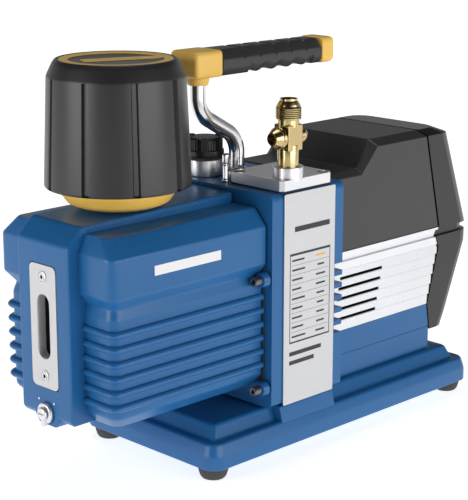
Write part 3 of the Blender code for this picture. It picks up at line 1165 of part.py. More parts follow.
def make_inlet(x, side):
    wide, tall = INLET_WIDTH / 2, INLET_TALL / 2
    flange = 0.0016
    body = block("power_inlet", (x - wide, side - 0.008, INLET_HEIGHT - tall),
                 (x + wide, side + flange, INLET_HEIGHT + tall), "black_plastic")
    lip = block("inlet_flange_shape", (x - wide - 0.0015, side + GAP, INLET_HEIGHT - tall - 0.0015),
                (x + wide + 0.0015, side + flange, INLET_HEIGHT + tall + 0.0015), "black_plastic")
    unite(body, lip)
    socket = block("inlet_socket_shape", (x - wide + 0.003, side - 0.006, INLET_HEIGHT - tall + 0.003),
                   (x + wide - 0.003, side + 0.01, INLET_HEIGHT + tall - 0.003), "black_plastic")
    cut(body, socket)


def main():
    clear_scene()
    make_base()
    make_feet()
    make_housing()
    make_rating_plate()
    make_tank()
    make_tank_gasket()
    make_tank_screws()
    make_window()
    make_drain()
    make_filter()
    make_intake()
    make_fitting()
    make_handle()
    make_filler()
    make_gas_ballast()
    make_stages()
    make_motor_inside()
    make_motor_frame()
    make_louvres()
    make_covers()


main()
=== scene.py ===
"""Looks for a rotary vane vacuum pump: enamelled castings, moulded covers, plated handle, brass intake.

Metres, +Z up, +X along the shaft towards the motor. The side with the rating plate faces -Y.
"""

import json
import math
import bmesh
import bpy
import numpy as np
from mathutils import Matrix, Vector


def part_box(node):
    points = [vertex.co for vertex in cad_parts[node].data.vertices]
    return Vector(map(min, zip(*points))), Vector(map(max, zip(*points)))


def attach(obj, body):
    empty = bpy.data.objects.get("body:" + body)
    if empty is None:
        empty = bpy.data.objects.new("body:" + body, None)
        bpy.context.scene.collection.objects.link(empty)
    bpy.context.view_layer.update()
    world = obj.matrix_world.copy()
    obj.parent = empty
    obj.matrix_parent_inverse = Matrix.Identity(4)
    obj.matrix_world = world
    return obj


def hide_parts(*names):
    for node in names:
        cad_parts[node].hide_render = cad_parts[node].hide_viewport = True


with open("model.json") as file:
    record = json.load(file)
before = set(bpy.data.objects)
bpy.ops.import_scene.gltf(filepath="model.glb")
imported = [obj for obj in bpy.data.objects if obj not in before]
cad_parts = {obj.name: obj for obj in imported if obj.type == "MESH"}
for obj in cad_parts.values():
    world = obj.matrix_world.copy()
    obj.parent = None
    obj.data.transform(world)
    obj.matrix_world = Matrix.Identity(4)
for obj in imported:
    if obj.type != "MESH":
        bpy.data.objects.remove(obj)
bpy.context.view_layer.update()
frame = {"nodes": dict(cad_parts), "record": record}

TURN = 2 * math.pi
UP = np.array((0.0, 0.0, 1.0))
ALONG = np.array((1.0, 0.0, 0.0))


def lows(node):
    """A fixed node's least X, Y and Z."""
    return np.array(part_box(node)[0])


def highs(node):
    """A fixed node's greatest X, Y and Z."""
    return np.array(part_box(node)[1])


def span(node):
    """A fixed node's two opposite corners."""
    return lows(node), highs(node)


def centre_of(node):
    """The middle of a fixed node's box."""
    return (lows(node) + highs(node)) / 2


# ---- places read from the fixed frame ----
CASING_FRONT = lows("oil_tank")[0]
CASING_REAR = highs("oil_tank")[0]
CASING_TOP = 0.1996
CASING_HALF_WIDTH = 0.0632
CASING_DRAFT = 0.0006
CASING_BOTTOM = 0.058
ROOF_HEIGHT = 0.1946
ROOF_HALF_WIDTH = 0.0515
SPINE_HALF_WIDTH = 0.028
SPINE_LEAD = 0.0092
HOUSING_LOW, HOUSING_HIGH = lows("pump_housing"), highs("pump_housing")
BASE_LOW, BASE_HIGH = lows("base_plate"), highs("base_plate")
PLATE_LOW, PLATE_HIGH = lows("rating_plate"), highs("rating_plate")
BLOCK_LOW = lows("intake_block")
GRIP_LOW, GRIP_HIGH = lows("handle_grip"), highs("handle_grip")
FILTER_CENTRE = centre_of("filter_housing")
INTAKE = np.array((-0.02105, -0.0572, 0.0))
FILLER = centre_of("filler_neck")
DRAIN_HEIGHT = 0.0625
SLOT_HALF_WIDTH, SLOT_LOW, SLOT_HIGH = 0.0068, 0.1020, 0.1496
SHAFT_HEIGHT = 0.122


# ---- mesh helpers ----
def soften(corners, radius, steps=4, closed=False):
    """Replaces each corner of a line with a curve: a quadratic Bezier between points one radius to either
    side."""
    corners = [np.asarray(point, float) for point in corners]
    count = len(corners)
    share = np.linspace(0, 1, steps + 1)[:, None]
    line = []
    for index, corner in enumerate(corners):
        reach = radius[index] if isinstance(radius, (list, tuple)) else radius
        if not closed and index in (0, count - 1) or reach <= 0:
            line.append(corner[None])
            continue
        before, after = corners[index - 1], corners[(index + 1) % count]
        back = min(reach, np.linalg.norm(before - corner) * 0.49)
        ahead = min(reach, np.linalg.norm(after - corner) * 0.49)
        start = corner + (before - corner) / max(np.linalg.norm(before - corner), 1e-9) * back
        end = corner + (after - corner) / max(np.linalg.norm(after - corner), 1e-9) * ahead
        line.append((1 - share) ** 2 * start + 2 * share * (1 - share) * corner + share**2 * end)
    return np.concatenate(line)


def mesh_piece(name, points, faces, sharp=38.0):
    """A mesh object whose faces point out, smooth but for edges sharper than the given angle."""
    mesh = bpy.data.meshes.new(name)
    mesh.from_pydata(np.asarray(points).reshape(-1, 3).tolist(), [], faces)
    work = bmesh.new()
    work.from_mesh(mesh)
    bmesh.ops.remove_doubles(work, verts=work.verts, dist=1e-7)
    bmesh.ops.recalc_face_normals(work, faces=work.faces)
    work.to_mesh(mesh)
    work.free()
    mesh.shade_smooth()
    mesh.set_sharp_from_angle(angle=math.radians(sharp))
    obj = bpy.data.objects.new(name, mesh)
    bpy.context.scene.collection.objects.link(obj)
    return obj


def lattice(name, grid, wrap_rows=False, sharp=38.0):
    """Skins a grid of points (rows, columns, 3). Columns close on themselves; rows do too or get end caps."""
    rows, columns = grid.shape[:2]
    index = np.arange(rows * columns).reshape(rows, columns)
    if wrap_rows:
        index = np.concatenate([index, index[:1]])
    here, there = index[:-1], index[1:]
    quads = np.stack([here, np.roll(here, -1, 1), np.roll(there, -1, 1), there], -1).reshape(-1, 4)
    faces = quads.tolist()
    if not wrap_rows:
        faces += [index[0][::-1].tolist(), index[-1].tolist()]
    return mesh_piece(name, grid, faces, sharp)


def spokes(axis, steps):
    """Unit vectors round an axis, evenly spread."""
    axis = np.asarray(axis, float)
    side = np.cross(axis, UP if abs(axis[2]) < 0.9 else ALONG)
    side /= np.linalg.norm(side)
    other = np.cross(axis, side)
    angles = np.arange(steps) * TURN / steps
    return np.cos(angles)[:, None] * side + np.sin(angles)[:, None] * other


def turned(name, profile, centre, axis=UP, steps=72, ring=False, sharp=38.0):
    """Turns (radius, place along the axis) pairs about the axis: point = centre + place*axis +
    radius*spoke."""
    profile = np.asarray(profile, float)
    around = spokes(axis, steps)
    grid = np.asarray(centre) + profile[:, 1, None, None] * np.asarray(axis) + profile[:, 0, None,
                                                                                       None] * around
    return lattice(name, grid, ring, sharp)


def prism(name, outline, axis, start, end, edge=0.0, segments=3, sharp=38.0):
    """Carries a flat outline, given as the two coordinates left over in X, Y, Z order, along the axis."""
    outline = np.asarray(outline, float)
    grid = np.zeros((2, len(outline), 3))
    others = [place for place in range(3) if place != axis]
    grid[:, :, others[0]] = outline[:, 0]
    grid[:, :, others[1]] = outline[:, 1]
    grid[0, :, axis], grid[1, :, axis] = start, end
    obj = lattice(name, grid, False, sharp)
    if edge:
        ease(obj, edge, segments)
    return obj


def rounded_box(x0, x1, y0, y1, radius, steps=6):
    """A rectangle's outline with softened corners."""
    return soften([(x0, y0), (x1, y0), (x1, y1), (x0, y1)], radius, steps, closed=True)


def box_piece(name, low, high, edge=0.0003, segments=2):
    """A rectangle carried up, with eased edges."""
    outline = [(low[0], low[1]), (high[0], low[1]), (high[0], high[1]), (low[0], high[1])]
    return prism(name, outline, 2, low[2], high[2], edge, segments)


def slot_outline(inset=0.0):
    """The sight slot's outline in Y and Z, drawn in by the inset: a rectangle whose ends are softened to
    curves."""
    half, low, high = SLOT_HALF_WIDTH - inset, SLOT_LOW + inset, SLOT_HIGH - inset
    return soften([(-half, low), (half, low), (half, high), (-half, high)], half, 10, closed=True)


def ease(obj, width, segments=3, angle=30.0):
    """Rounds the edges of a piece."""
    bevel = obj.modifiers.new("eased_edges", "BEVEL")
    bevel.width = width
    bevel.segments = segments
    bevel.limit_method = "ANGLE"
    bevel.angle_limit = math.radians(angle)
    bevel.harden_normals = True
    return obj


def cut(obj, *cutters):
    """Cuts shapes out of a piece and drops the shapes."""
    for cutter in cutters:
        tool = obj.modifiers.new("cut", "BOOLEAN")
        tool.operation = "DIFFERENCE"
        tool.solver = "EXACT"
        tool.object = cutter
    graph = bpy.context.evaluated_depsgraph_get()
    mesh = bpy.data.meshes.new_from_object(obj.evaluated_get(graph))
    obj.modifiers.clear()
    obj.data = mesh
    mesh.shade_smooth()
    mesh.set_sharp_from_angle(angle=math.radians(30))
    for cutter in cutters:
        bpy.data.objects.remove(cutter)
    return obj


def eased_copy(node, name, width, segments=3, angle=30.0):
    """A copy of a fixed node with its triangles joined into faces and its edges rounded."""
    mesh = frame["nodes"][node].data.copy()
    mesh.materials.clear()
    work = bmesh.new()
    work.from_mesh(mesh)
    bmesh.ops.remove_doubles(work, verts=work.verts, dist=2e-6)
    bmesh.ops.dissolve_limit(work, angle_limit=math.radians(0.6), verts=work.verts, edges=work.edges)
    work.to_mesh(mesh)
    work.free()
    mesh.shade_smooth()
    mesh.set_sharp_from_angle(angle=math.radians(angle))
    obj = bpy.data.objects.new(name, mesh)
    bpy.context.scene.collection.objects.link(obj)
    if width:
        ease(obj, width, segments, angle)
    return obj


def dress(obj, material, body, slot, *nodes):
    """Gives a piece its material and its body, and hides the fixed nodes that it stands for. The slot is not
    used.
    """
    obj.data.materials.clear()
    obj.data.materials.append(material)
    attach(obj, body)
    if nodes:
        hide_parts(*nodes)
    return obj


# ---- materials ----
def add_node(tree, kind, values=None, **settings):
    """Adds a shader node with its settings, then gives each input a number or the output that feeds it."""
    node = tree.nodes.new(kind)
    for setting, value in settings.items():
        setattr(node, setting, value)
    feed(tree, node, values or {})
    return node


def feed(tree, node, values):
    """Gives each named input of a shader node a number or the output that feeds it."""
    for socket, value in values.items():
        if isinstance(value, bpy.types.NodeSocket):
            tree.links.new(value, node.inputs[socket])
        else:
            node.inputs[socket].default_value = value


def finish_material(name, colour, roughness, metallic=0.0, blotch=0.06, blotch_scale=18.0, grain=0.0,
                    grain_scale=900.0, spread=0.06, coat=0.0, stretch=(1, 1, 1), specular=0.5):
    """Procedural finish on Object coordinates: broad noise shifts the colour, fine noise the roughness and
    grain."""
    material = bpy.data.materials.new(name)
    material.use_nodes = True
    tree = material.node_tree
    shader = tree.nodes["Principled BSDF"]
    place = add_node(tree, "ShaderNodeTexCoord").outputs["Object"]
    stretched = add_node(tree, "ShaderNodeMapping", {"Scale": stretch, "Vector": place}).outputs["Vector"]
    broad = add_node(tree, "ShaderNodeTexNoise", {"Scale": blotch_scale, "Detail": 3, "Vector": stretched})
    fine = add_node(tree, "ShaderNodeTexNoise", {"Scale": grain_scale, "Detail": 2, "Vector": stretched})
    darker = (*[channel * (1 - blotch) for channel in colour], 1)
    lighter = (*[min(1, channel * (1 + blotch)) for channel in colour], 1)
    tint = add_node(tree, "ShaderNodeMix", data_type="RGBA")
    feed(tree, tint, {6: darker, 7: lighter, 0: broad.outputs["Fac"]})
    rough = add_node(tree, "ShaderNodeMapRange", {"To Min": max(0.02, roughness - spread),
                                                  "To Max": roughness + spread, "Value": fine.outputs["Fac"]})
    feed(tree, shader, {"Metallic": metallic, "Coat Weight": coat, "Coat Roughness": 0.08,
                        "Specular IOR Level": specular, "Base Color": tint.outputs[2],
                        "Roughness": rough.outputs["Result"]})
    if grain:
        bump = add_node(tree, "ShaderNodeBump", {"Strength": 0.35, "Distance": grain,
                                                 "Height": fine.outputs["Fac"]})
        feed(tree, shader, {"Normal": bump.outputs["Normal"]})
    return material


def glass_material():
    """The window's pane is a pale, smooth sheet that lets most of the light by."""
    material = finish_material("sight_glass_clear", (0.80, 0.84, 0.82), 0.05, blotch=0.02, spread=0.02)
    shader = material.node_tree.nodes["Principled BSDF"]
    shader.inputs["Alpha"].default_value = 0.35
    return material


ENAMEL = finish_material("blue_enamel", (0.015, 0.116, 0.308), 0.31, blotch=0.05, grain=0.00004,
                         grain_scale=700, coat=0.03, specular=0.34)
RUBBER = finish_material("foot_rubber", (0.045, 0.045, 0.043), 0.75, blotch=0.15, grain=0.00008)
PLATE = finish_material("satin_plate", (0.60, 0.60, 0.61), 0.32, 0.35, blotch=0.02, spread=0.05,
                        stretch=(1, 1, 14), grain=0.00001, grain_scale=300)
POLISHED = finish_material("polished_aluminium", (0.83, 0.84, 0.87), 0.12, 1.0, blotch=0.03, spread=0.04)
SATIN_METAL = finish_material("satin_aluminium", (0.74, 0.74, 0.76), 0.32, 0.85, blotch=0.04, spread=0.06,
                              grain=0.00002, grain_scale=500)
BRASS = finish_material("machined_brass", (0.56, 0.44, 0.22), 0.20, 1.0, blotch=0.12, blotch_scale=90,
                        spread=0.06)
CHROME = finish_material("plated_tube", (0.72, 0.72, 0.74), 0.15, 1.0, blotch=0.02, spread=0.03)
YELLOW = finish_material("amber_plastic", (0.86, 0.53, 0.100), 0.40, blotch=0.05, grain=0.00004)
GRIP = finish_material("grip_plastic", (0.026, 0.026, 0.028), 0.42, blotch=0.08, grain=0.00008)
FILTER_DARK = finish_material("filter_plastic", (0.018, 0.018, 0.019), 0.36, blotch=0.06, grain=0.00005)
COVER_DARK = finish_material("cover_plastic", (0.034, 0.034, 0.036), 0.40, blotch=0.05, grain=0.00006)
COVER_BLACK = finish_material("rear_plastic", (0.013, 0.013, 0.014), 0.28, blotch=0.06, grain=0.00006)
CAP_BLACK = finish_material("cap_plastic", (0.008, 0.008, 0.009), 0.38, blotch=0.1, grain=0.00004)
SILVER = finish_material("silver_lacquer", (0.80, 0.81, 0.84), 0.30, 0.65, blotch=0.03, grain=0.00003)
STEEL = finish_material("screw_steel", (0.17, 0.17, 0.18), 0.34, 0.9, blotch=0.15, blotch_scale=300)
GLASS = glass_material()
IRON = finish_material("machined_iron", (0.20, 0.20, 0.21), 0.5, 0.8, blotch=0.15, grain=0.00006)
GROUND = finish_material("ground_steel", (0.50, 0.51, 0.53), 0.2, 1.0, blotch=0.06, stretch=(30, 1, 1))
VANES = finish_material("vane_composite", (0.16, 0.11, 0.065), 0.6, blotch=0.2, grain=0.00005)
GASKET = finish_material("gasket_sheet", (0.018, 0.020, 0.026), 0.8, blotch=0.15, grain=0.00006)
MEDIA = finish_material("filter_media", (0.72, 0.70, 0.63), 0.9, blotch=0.08, grain=0.0002)
LAMINATED = finish_material("laminated_steel", (0.28, 0.28, 0.30), 0.4, 0.9, blotch=0.1, stretch=(40, 1, 1))
INK_DARK = finish_material("print_black", (0.02, 0.02, 0.022), 0.5, blotch=0.05)
INK_AMBER = finish_material("print_amber", (0.80, 0.40, 0.08), 0.5, blotch=0.05)
INK_WHITE = finish_material("print_white", (0.80, 0.80, 0.80), 0.5, blotch=0.03)
SHADOW = finish_material("vent_shadow", (0.003, 0.003, 0.003), 0.95, blotch=0.1, spread=0.03, specular=0.05)
OIL_DARK = finish_material("oil_shadow", (0.02, 0.02, 0.02), 0.12, blotch=0.2)

NODE_MATERIALS = {
    "blue_enamel": ENAMEL,
    "black_rubber": RUBBER,
    "plate_silver": PLATE,
    "polished_aluminium": POLISHED,
    "brass": BRASS,
    "chrome": CHROME,
    "yellow_plastic": YELLOW,
    "grip_plastic": GRIP,
    "dark_plastic": COVER_DARK,
    "black_plastic": CAP_BLACK,
    "silver_panel": SILVER,
    "screw_steel": STEEL,
    "sight_glass": GLASS,
    "cast_iron": IRON,
    "ground_steel": GROUND,
    "vane_composite": VANES,
    "gasket_paper": GASKET,
    "filter_media": MEDIA,
    "stator_steel": LAMINATED,
}


def finish_nodes():
    """Every fixed node takes the material of its slot in the record."""
    for row in frame["record"]["subparts"]:
        mesh = frame["nodes"][row["node"]].data
        mesh.materials.clear()
        mesh.materials.append(NODE_MATERIALS[row["material_slot"]])


# ---- base and feet ----
def make_base():
    """Rings of a rounded rectangle: each ring is moved in by the profile's inset at its height."""
    size = BASE_HIGH - BASE_LOW
    middle = centre_of("base_plate")
    rim = 0.030
    corners = [(0.0305, 0.033), (0.030, 0.0100), (0.0, 0.0100), (0.0, 0.0205), (0.003, rim),
               (0.0105, rim - 0.0008),
               (0.0150, 0.040), (0.025, 0.040)]
    profile = soften(corners, [0, 0.001, 0.0012, 0.002, 0.0022, 0.0018, 0.0022, 0], 5)
    inset, height = profile[:, 0, None], profile[:, 1, None]
    radius = np.maximum(0.011 - inset * 0.7, 0.003)
    quarter = np.linspace(0, TURN / 4, 9)
    angle = np.concatenate([quarter + turn * TURN / 4 for turn in range(4)])
    sign_x = np.repeat([1, -1, -1, 1], 9)
    sign_y = np.repeat([1, 1, -1, -1], 9)
    grid = np.empty((len(profile), 36, 3))
    grid[:, :, 0] = middle[0] + sign_x * (size[0] / 2 - inset - radius) + radius * np.cos(angle)
    grid[:, :, 1] = middle[1] + sign_y * (size[1] / 2 - inset - radius) + radius * np.sin(angle)
    grid[:, :, 2] = height
    dress(lattice("base_casting", grid), ENAMEL, "pump", "blue_enamel", "base_plate")
    top = HOUSING_LOW[2] - 0.0003
    outline = [(-0.0712, rim - 0.006), (0.0712, rim - 0.006), (0.0708, rim), (0.068, top), (-0.068, top),
               (-0.0708, rim)]
    pedestal = prism("pedestal_casting", outline, 0, PLATE_LOW[0] - 0.0024, PLATE_HIGH[0] + 0.0016, 0.0012, 3)
    dress(pedestal, ENAMEL, "pump", "blue_enamel")
    for side in ("near", "far"):
        for end in ("front", "rear"):
            node = f"foot_{end}_{side}"
            low, high = span(node)
            radius = (high[0] - low[0]) / 2
            corners = [(0.0, 0.0), (radius * 0.72, 0.0), (radius * 0.88, 0.0022), (radius, 0.0068),
                       (radius, high[2]), (0.0, high[2])]
            profile = soften(corners, 0.0012, 4)
            foot = turned(f"foot_pad_{end}_{side}", profile, ((low + high) / 2 * (1, 1, 0)), steps=48)
            dress(foot, RUBBER, "pump", "black_rubber", node)


# ---- oil casing ----
RIB_TOP, RIB_PITCH, RIB_COUNT = 0.1283, 0.01058, 6
RIB_HALF_HEIGHT, RIB_ROOT_GROWTH, RIB_REACH = 0.0017, 0.0009, 0.0031
WALL_INSET = 0.0043
CREASE_HEIGHT = 0.182
CORNER_RADIUS = 0.008
SCREW_RECESS_RADIUS = 0.0068
SCREW_HEAD_LENGTH = 0.0070
CAVITY_RADIUS = 0.050
CAVITY_SETBACK = 0.021
STRIPE_START, STRIPE_END, STRIPE_LOW, STRIPE_HIGH = -0.1590, -0.0960, 0.1655, 0.1725


def panel_profile():
    """(height, inset at the side, inset at the front) down a side panel.

    A rib runs over an angle a from -90 to 90 degrees. Its height is -sin(a) * (half height + growth *
    sin(a)^2), and
    it stands out by its reach * cos(a)^0.6, so that it is blunt at the tip and wider at the root.
    """
    roof = CASING_HALF_WIDTH - CASING_DRAFT - ROOF_HALF_WIDTH
    edge = soften([(ROOF_HEIGHT, CASING_HALF_WIDTH - 0.024), (ROOF_HEIGHT, roof), (CREASE_HEIGHT, 0.0),
                   (0.154, 0.0),
                   (0.1455, 0.0063), (0.1385, WALL_INSET), (RIB_TOP + 0.0036, WALL_INSET)],
                  [0, 0.0015, 0.0012, 0.0012, 0.0012, 0.0010, 0], 4)
    share = np.linspace(-math.pi / 2, math.pi / 2, 9)
    rib_height = -np.sin(share) * (RIB_HALF_HEIGHT + RIB_ROOT_GROWTH * np.sin(share) ** 2)
    rib_out = np.cos(share) ** 0.6 * RIB_REACH
    ribs = [np.stack([RIB_TOP - rib * RIB_PITCH + rib_height, WALL_INSET - rib_out],
                     1) for rib in range(RIB_COUNT)]
    foot = soften([(RIB_TOP - 5 * RIB_PITCH - 0.0036, WALL_INSET), (0.0675, WALL_INSET),
                   (CASING_BOTTOM, WALL_INSET + 0.0085)], [0, 0.0025, 0], 4)
    profile = np.concatenate([edge, *ribs, foot])
    front = profile[:, 1].copy()
    above = profile[:, 0] > CREASE_HEIGHT
    front[above] = np.minimum(profile[above, 1], roof) / roof * 0.006
    return np.column_stack([profile, front])


def make_panel(side, name):
    """Each height of a side panel runs in along the front, round a corner arc and back along the drafted
    side."""
    profile = panel_profile()
    radius = CORNER_RADIUS
    height, inset, inset_front = (profile[:, column, None] for column in range(3))
    front = CASING_FRONT + SPINE_LEAD + inset_front
    outer = CASING_HALF_WIDTH - CASING_DRAFT - inset
    arc = np.linspace(math.pi, math.pi / 2, 11)
    inner = SPINE_HALF_WIDTH - 0.008
    rows = len(profile)
    grid = np.empty((rows, 16, 3))
    grid[:, 0, 0], grid[:, 0, 1] = CASING_REAR, inner
    grid[:, 1, 0], grid[:, 1, 1] = front[:, 0], inner
    grid[:, 2, 0], grid[:, 2, 1] = front[:, 0], (inner + outer[:, 0]) / 2
    grid[:, 3:14, 0] = front + radius + radius * np.cos(arc)
    grid[:, 3:14, 1] = outer - radius + radius * np.sin(arc)
    grid[:, 14, 0], grid[:, 14, 1] = (CASING_REAR + front[:, 0]) / 2, outer[:, 0] + CASING_DRAFT / 2
    grid[:, 15, 0], grid[:, 15, 1] = CASING_REAR, outer[:, 0] + CASING_DRAFT
    grid[:, :, 1] *= side
    grid[:, :, 2] = height
    panel = lattice(name, grid, sharp=34)
    cutters = []
    for label in ("upper", "lower"):
        screw = f"tank_screw_{label}_near"
        height = (lows(screw)[2] + highs(screw)[2]) / 2
        profile = [(0, -0.010), (SCREW_RECESS_RADIUS, -0.010), (SCREW_RECESS_RADIUS, 0.02), (0, 0.02)]
        cutters.append(turned("screw_recess", profile, (CASING_REAR, side * 0.0655, height), ALONG, 40))
    return cut(panel, casing_cavity(), *cutters)


def casing_cavity():
    """The round room inside the casing where the rotor and its vanes turn."""
    front, rear = CASING_FRONT + CAVITY_SETBACK, CASING_REAR + 0.01
    profile = [(0, front), (CAVITY_RADIUS, front), (CAVITY_RADIUS, rear), (0, rear)]
    return turned("casing_cavity", profile, (0, 0, SHAFT_HEIGHT), ALONG, 72)


def make_casing():
    """The spine is its side view carried across, with the front and top drawn in near its two sides.

    A point is drawn in by the edge curve's depth there, along the line to a middle point. The stripe follows
    the
    panel's wall, whose half width falls by the draft from the rear to the front.
    """
    near = dress(make_panel(-1, "casing_panel_near"), ENAMEL, "pump", "blue_enamel")
    dress(make_panel(1, "casing_panel_far"), ENAMEL, "pump", "blue_enamel")
    bottom, edge, half = CASING_BOTTOM, 0.0010, SPINE_HALF_WIDTH
    top = highs("oil_tank")[2]
    corners = [(CASING_REAR, bottom), (CASING_REAR, top), (CASING_FRONT + 0.013, CASING_TOP),
               (CASING_FRONT, 0.1866),
               (CASING_FRONT, bottom + 0.003), (CASING_FRONT + 0.003, bottom)]
    outline = soften(corners, [0, 0, 0.0022, 0.0022, 0.002, 0], 5)
    middle = np.array((CASING_REAR - 0.03, 0.12))
    inward = (middle - outline) / np.linalg.norm(middle - outline, axis=1)[:, None]
    across = soften([(-half, edge), (-half + edge, 0.0), (half - edge, 0.0), (half, edge)], edge * 0.8, 5)
    grid = np.empty((len(across), len(outline), 3))
    drawn = outline[None] + across[:, 1, None, None] * inward
    grid[:, :, 0] = np.minimum(drawn[:, :, 0], CASING_REAR)
    grid[:, :, 1] = across[:, 0, None]
    grid[:, :, 2] = drawn[:, :, 1]
    spine = lattice("casing_spine", grid)
    wide = highs("window_plate")[1] + 0.0006
    low, high = lows("window_plate")[2] - 0.0006, highs("window_plate")[2] + 0.0006
    bed = soften([(-wide, low), (wide, low), (wide, high), (-wide, high)], 0.0046, 8, closed=True)
    recess = prism("window_bed", bed, 0, CASING_FRONT - 0.01, CASING_FRONT + 0.0018)
    pocket = prism("sight_pocket", slot_outline(), 0, CASING_FRONT - 0.01, CASING_FRONT + 0.0115)
    dress(cut(spine, recess, pocket, casing_cavity()), ENAMEL, "pump", "blue_enamel", "oil_tank")
    tongue_outline = soften([(-0.0145, 0.0700), (-0.0145, 0.0600), (-0.0095, 0.0528), (0.0095, 0.0528),
                             (0.0145, 0.0600), (0.0145, 0.0700)], 0.002, 4, closed=True)
    tongue = prism("casing_tongue", tongue_outline, 0, CASING_FRONT + 0.0003, CASING_FRONT + 0.035, 0.001)
    dress(tongue, ENAMEL, "pump", "blue_enamel")
    for side, label in ((-1, "near"), (1, "far")):
        reach = SPINE_HALF_WIDTH + 0.0006
        bead = prism(f"casing_bead_{label}", [(CASING_FRONT + 0.0185, ROOF_HEIGHT + 0.0006),
                                              (CASING_REAR - 0.0006, ROOF_HEIGHT + 0.0032),
                                              (CASING_REAR - 0.0006, ROOF_HEIGHT + 0.0044),
                                              (CASING_FRONT + 0.0170, ROOF_HEIGHT + 0.0018)], 1,
                     *sorted((side * (reach - 0.002), side * reach)), 0.0004, 2)
        dress(bead, ENAMEL, "pump", "blue_enamel")
    def wall(x):
        run = CASING_REAR - CASING_FRONT - SPINE_LEAD
        return CASING_HALF_WIDTH - CASING_DRAFT * (CASING_REAR - x) / run

    x0, x1 = STRIPE_START, STRIPE_END
    outline = [(x0, -wall(x0) - 0.0001), (x1, -wall(x1) - 0.0001), (x1, 0.0006 - wall(x1)),
               (x0, 0.0006 - wall(x0))]
    dress(prism("casing_stripe", outline, 2, STRIPE_LOW, STRIPE_HIGH), INK_WHITE, "pump", "blue_enamel")
    dress(eased_copy("tank_gasket", "casing_gasket", 0), GASKET, "pump", "gasket_paper", "tank_gasket")
    return near


def cap_screw(name, node, seat, height, radius):
    """A cap screw as one turned profile along X: a head with eased edges and a round recess in its end."""
    corners = [(0.0, -0.0035), (0.0017, -0.0035), (0.0017, -height + 0.0002), (0.0019, -height),
               (radius - 0.0006, -height),
               (radius, -height + 0.0006), (radius, -0.0006), (radius - 0.0004, 0.0), (0.0, 0.0)]
    screw = turned(name, corners, seat, ALONG, 40, sharp=30)
    return dress(screw, STEEL, "pump", "screw_steel", node)


def make_casing_screws():
    """Each screw is a turned profile, and its boss is a short turned drum: radius against place along X."""
    for side in ("near", "far"):
        for level in ("upper", "lower"):
            node = f"tank_screw_{level}_{side}"
            low, high = span(node)
            middle = (low + high) / 2
            seat = (low[0] + SCREW_HEAD_LENGTH, middle[1], middle[2])
            cap_screw(f"casing_screw_{level}_{side}", node, seat, SCREW_HEAD_LENGTH, (high[2] - low[2]) / 2)
            boss = turned(f"screw_boss_{level}_{side}", soften([(0, 0), (0.0052, 0), (0.0056, 0.0058),
                                                                (0, 0.0058)],
                                                               [0, 0.0006, 0, 0]), seat, ALONG, 48)
            dress(boss, ENAMEL, "pump", "blue_enamel")


# ---- sight window and drain ----
def make_window():
    """The liner is a tube of the slot's outline. A near-black block of painted shade fills the slot's far
    part, ahead of the flat pane."""
    plate = eased_copy("window_plate", "window_bezel", 0.0004, 3)
    dress(plate, PLATE, "pump", "plate_silver", "window_plate")
    front = lows("window_plate")[0]

    stations = [(front + 0.0006, 0.0001), (front + 0.0072, 0.0001), (front + 0.0072, 0.0009),
                (front + 0.0006, 0.0005)]
    outlines = [(x, slot_outline(inset)) for x, inset in stations]
    rings = np.array([np.column_stack([np.full(len(outline), x), outline]) for x, outline in outlines])
    dress(lattice("sight_liner", rings, True), PLATE, "pump", "plate_silver")
    # painted shade: a near-black block over the far part of the sight slot stands in for the shade inside the
    # window
    dark = slot_outline(0.0008)
    painted_shade_block = prism("sight_painted_shade", dark[dark[:, 0] > -0.0026], 0, front + 0.0064, front + 0.0071)
    dress(painted_shade_block, SHADOW, "pump", "sight_glass")
    pane = prism("sight_pane", slot_outline(0.0006), 0, front + 0.0072, front + 0.0084, 0.0002, 2)
    dress(pane, OIL_DARK, "pump", "sight_glass", "sight_glass")
    for level in ("upper", "lower"):
        node = f"window_screw_{level}"
        middle = centre_of(node)
        seat = (front - 0.0003, 0.0, middle[2])
        corners = [(0.0, 0.0), (0.0014, 0.0), (0.0016, -0.0006), (0.0029, -0.0006), (0.0030, 0.0002),
                   (0.0034, 0.0002),
                   (0.0035, -0.0006), (0.0042, -0.0004), (0.0042, 0.0006), (0.0, 0.0006)]
        dress(turned(f"bezel_screw_{level}", corners, seat, ALONG, 48, sharp=25), SATIN_METAL, "pump",
              "screw_steel", node)
        # painted shade: a thin near-black disc in the screw's socket stands in for the shade inside the
        # recess
        socket = turned(f"bezel_socket_shade_{level}", [(0, 0), (0.0013, 0), (0.0013, -0.0002), (0, -0.0002)],
                        seat, ALONG, 6)
        dress(socket, SHADOW, "pump", "screw_steel")


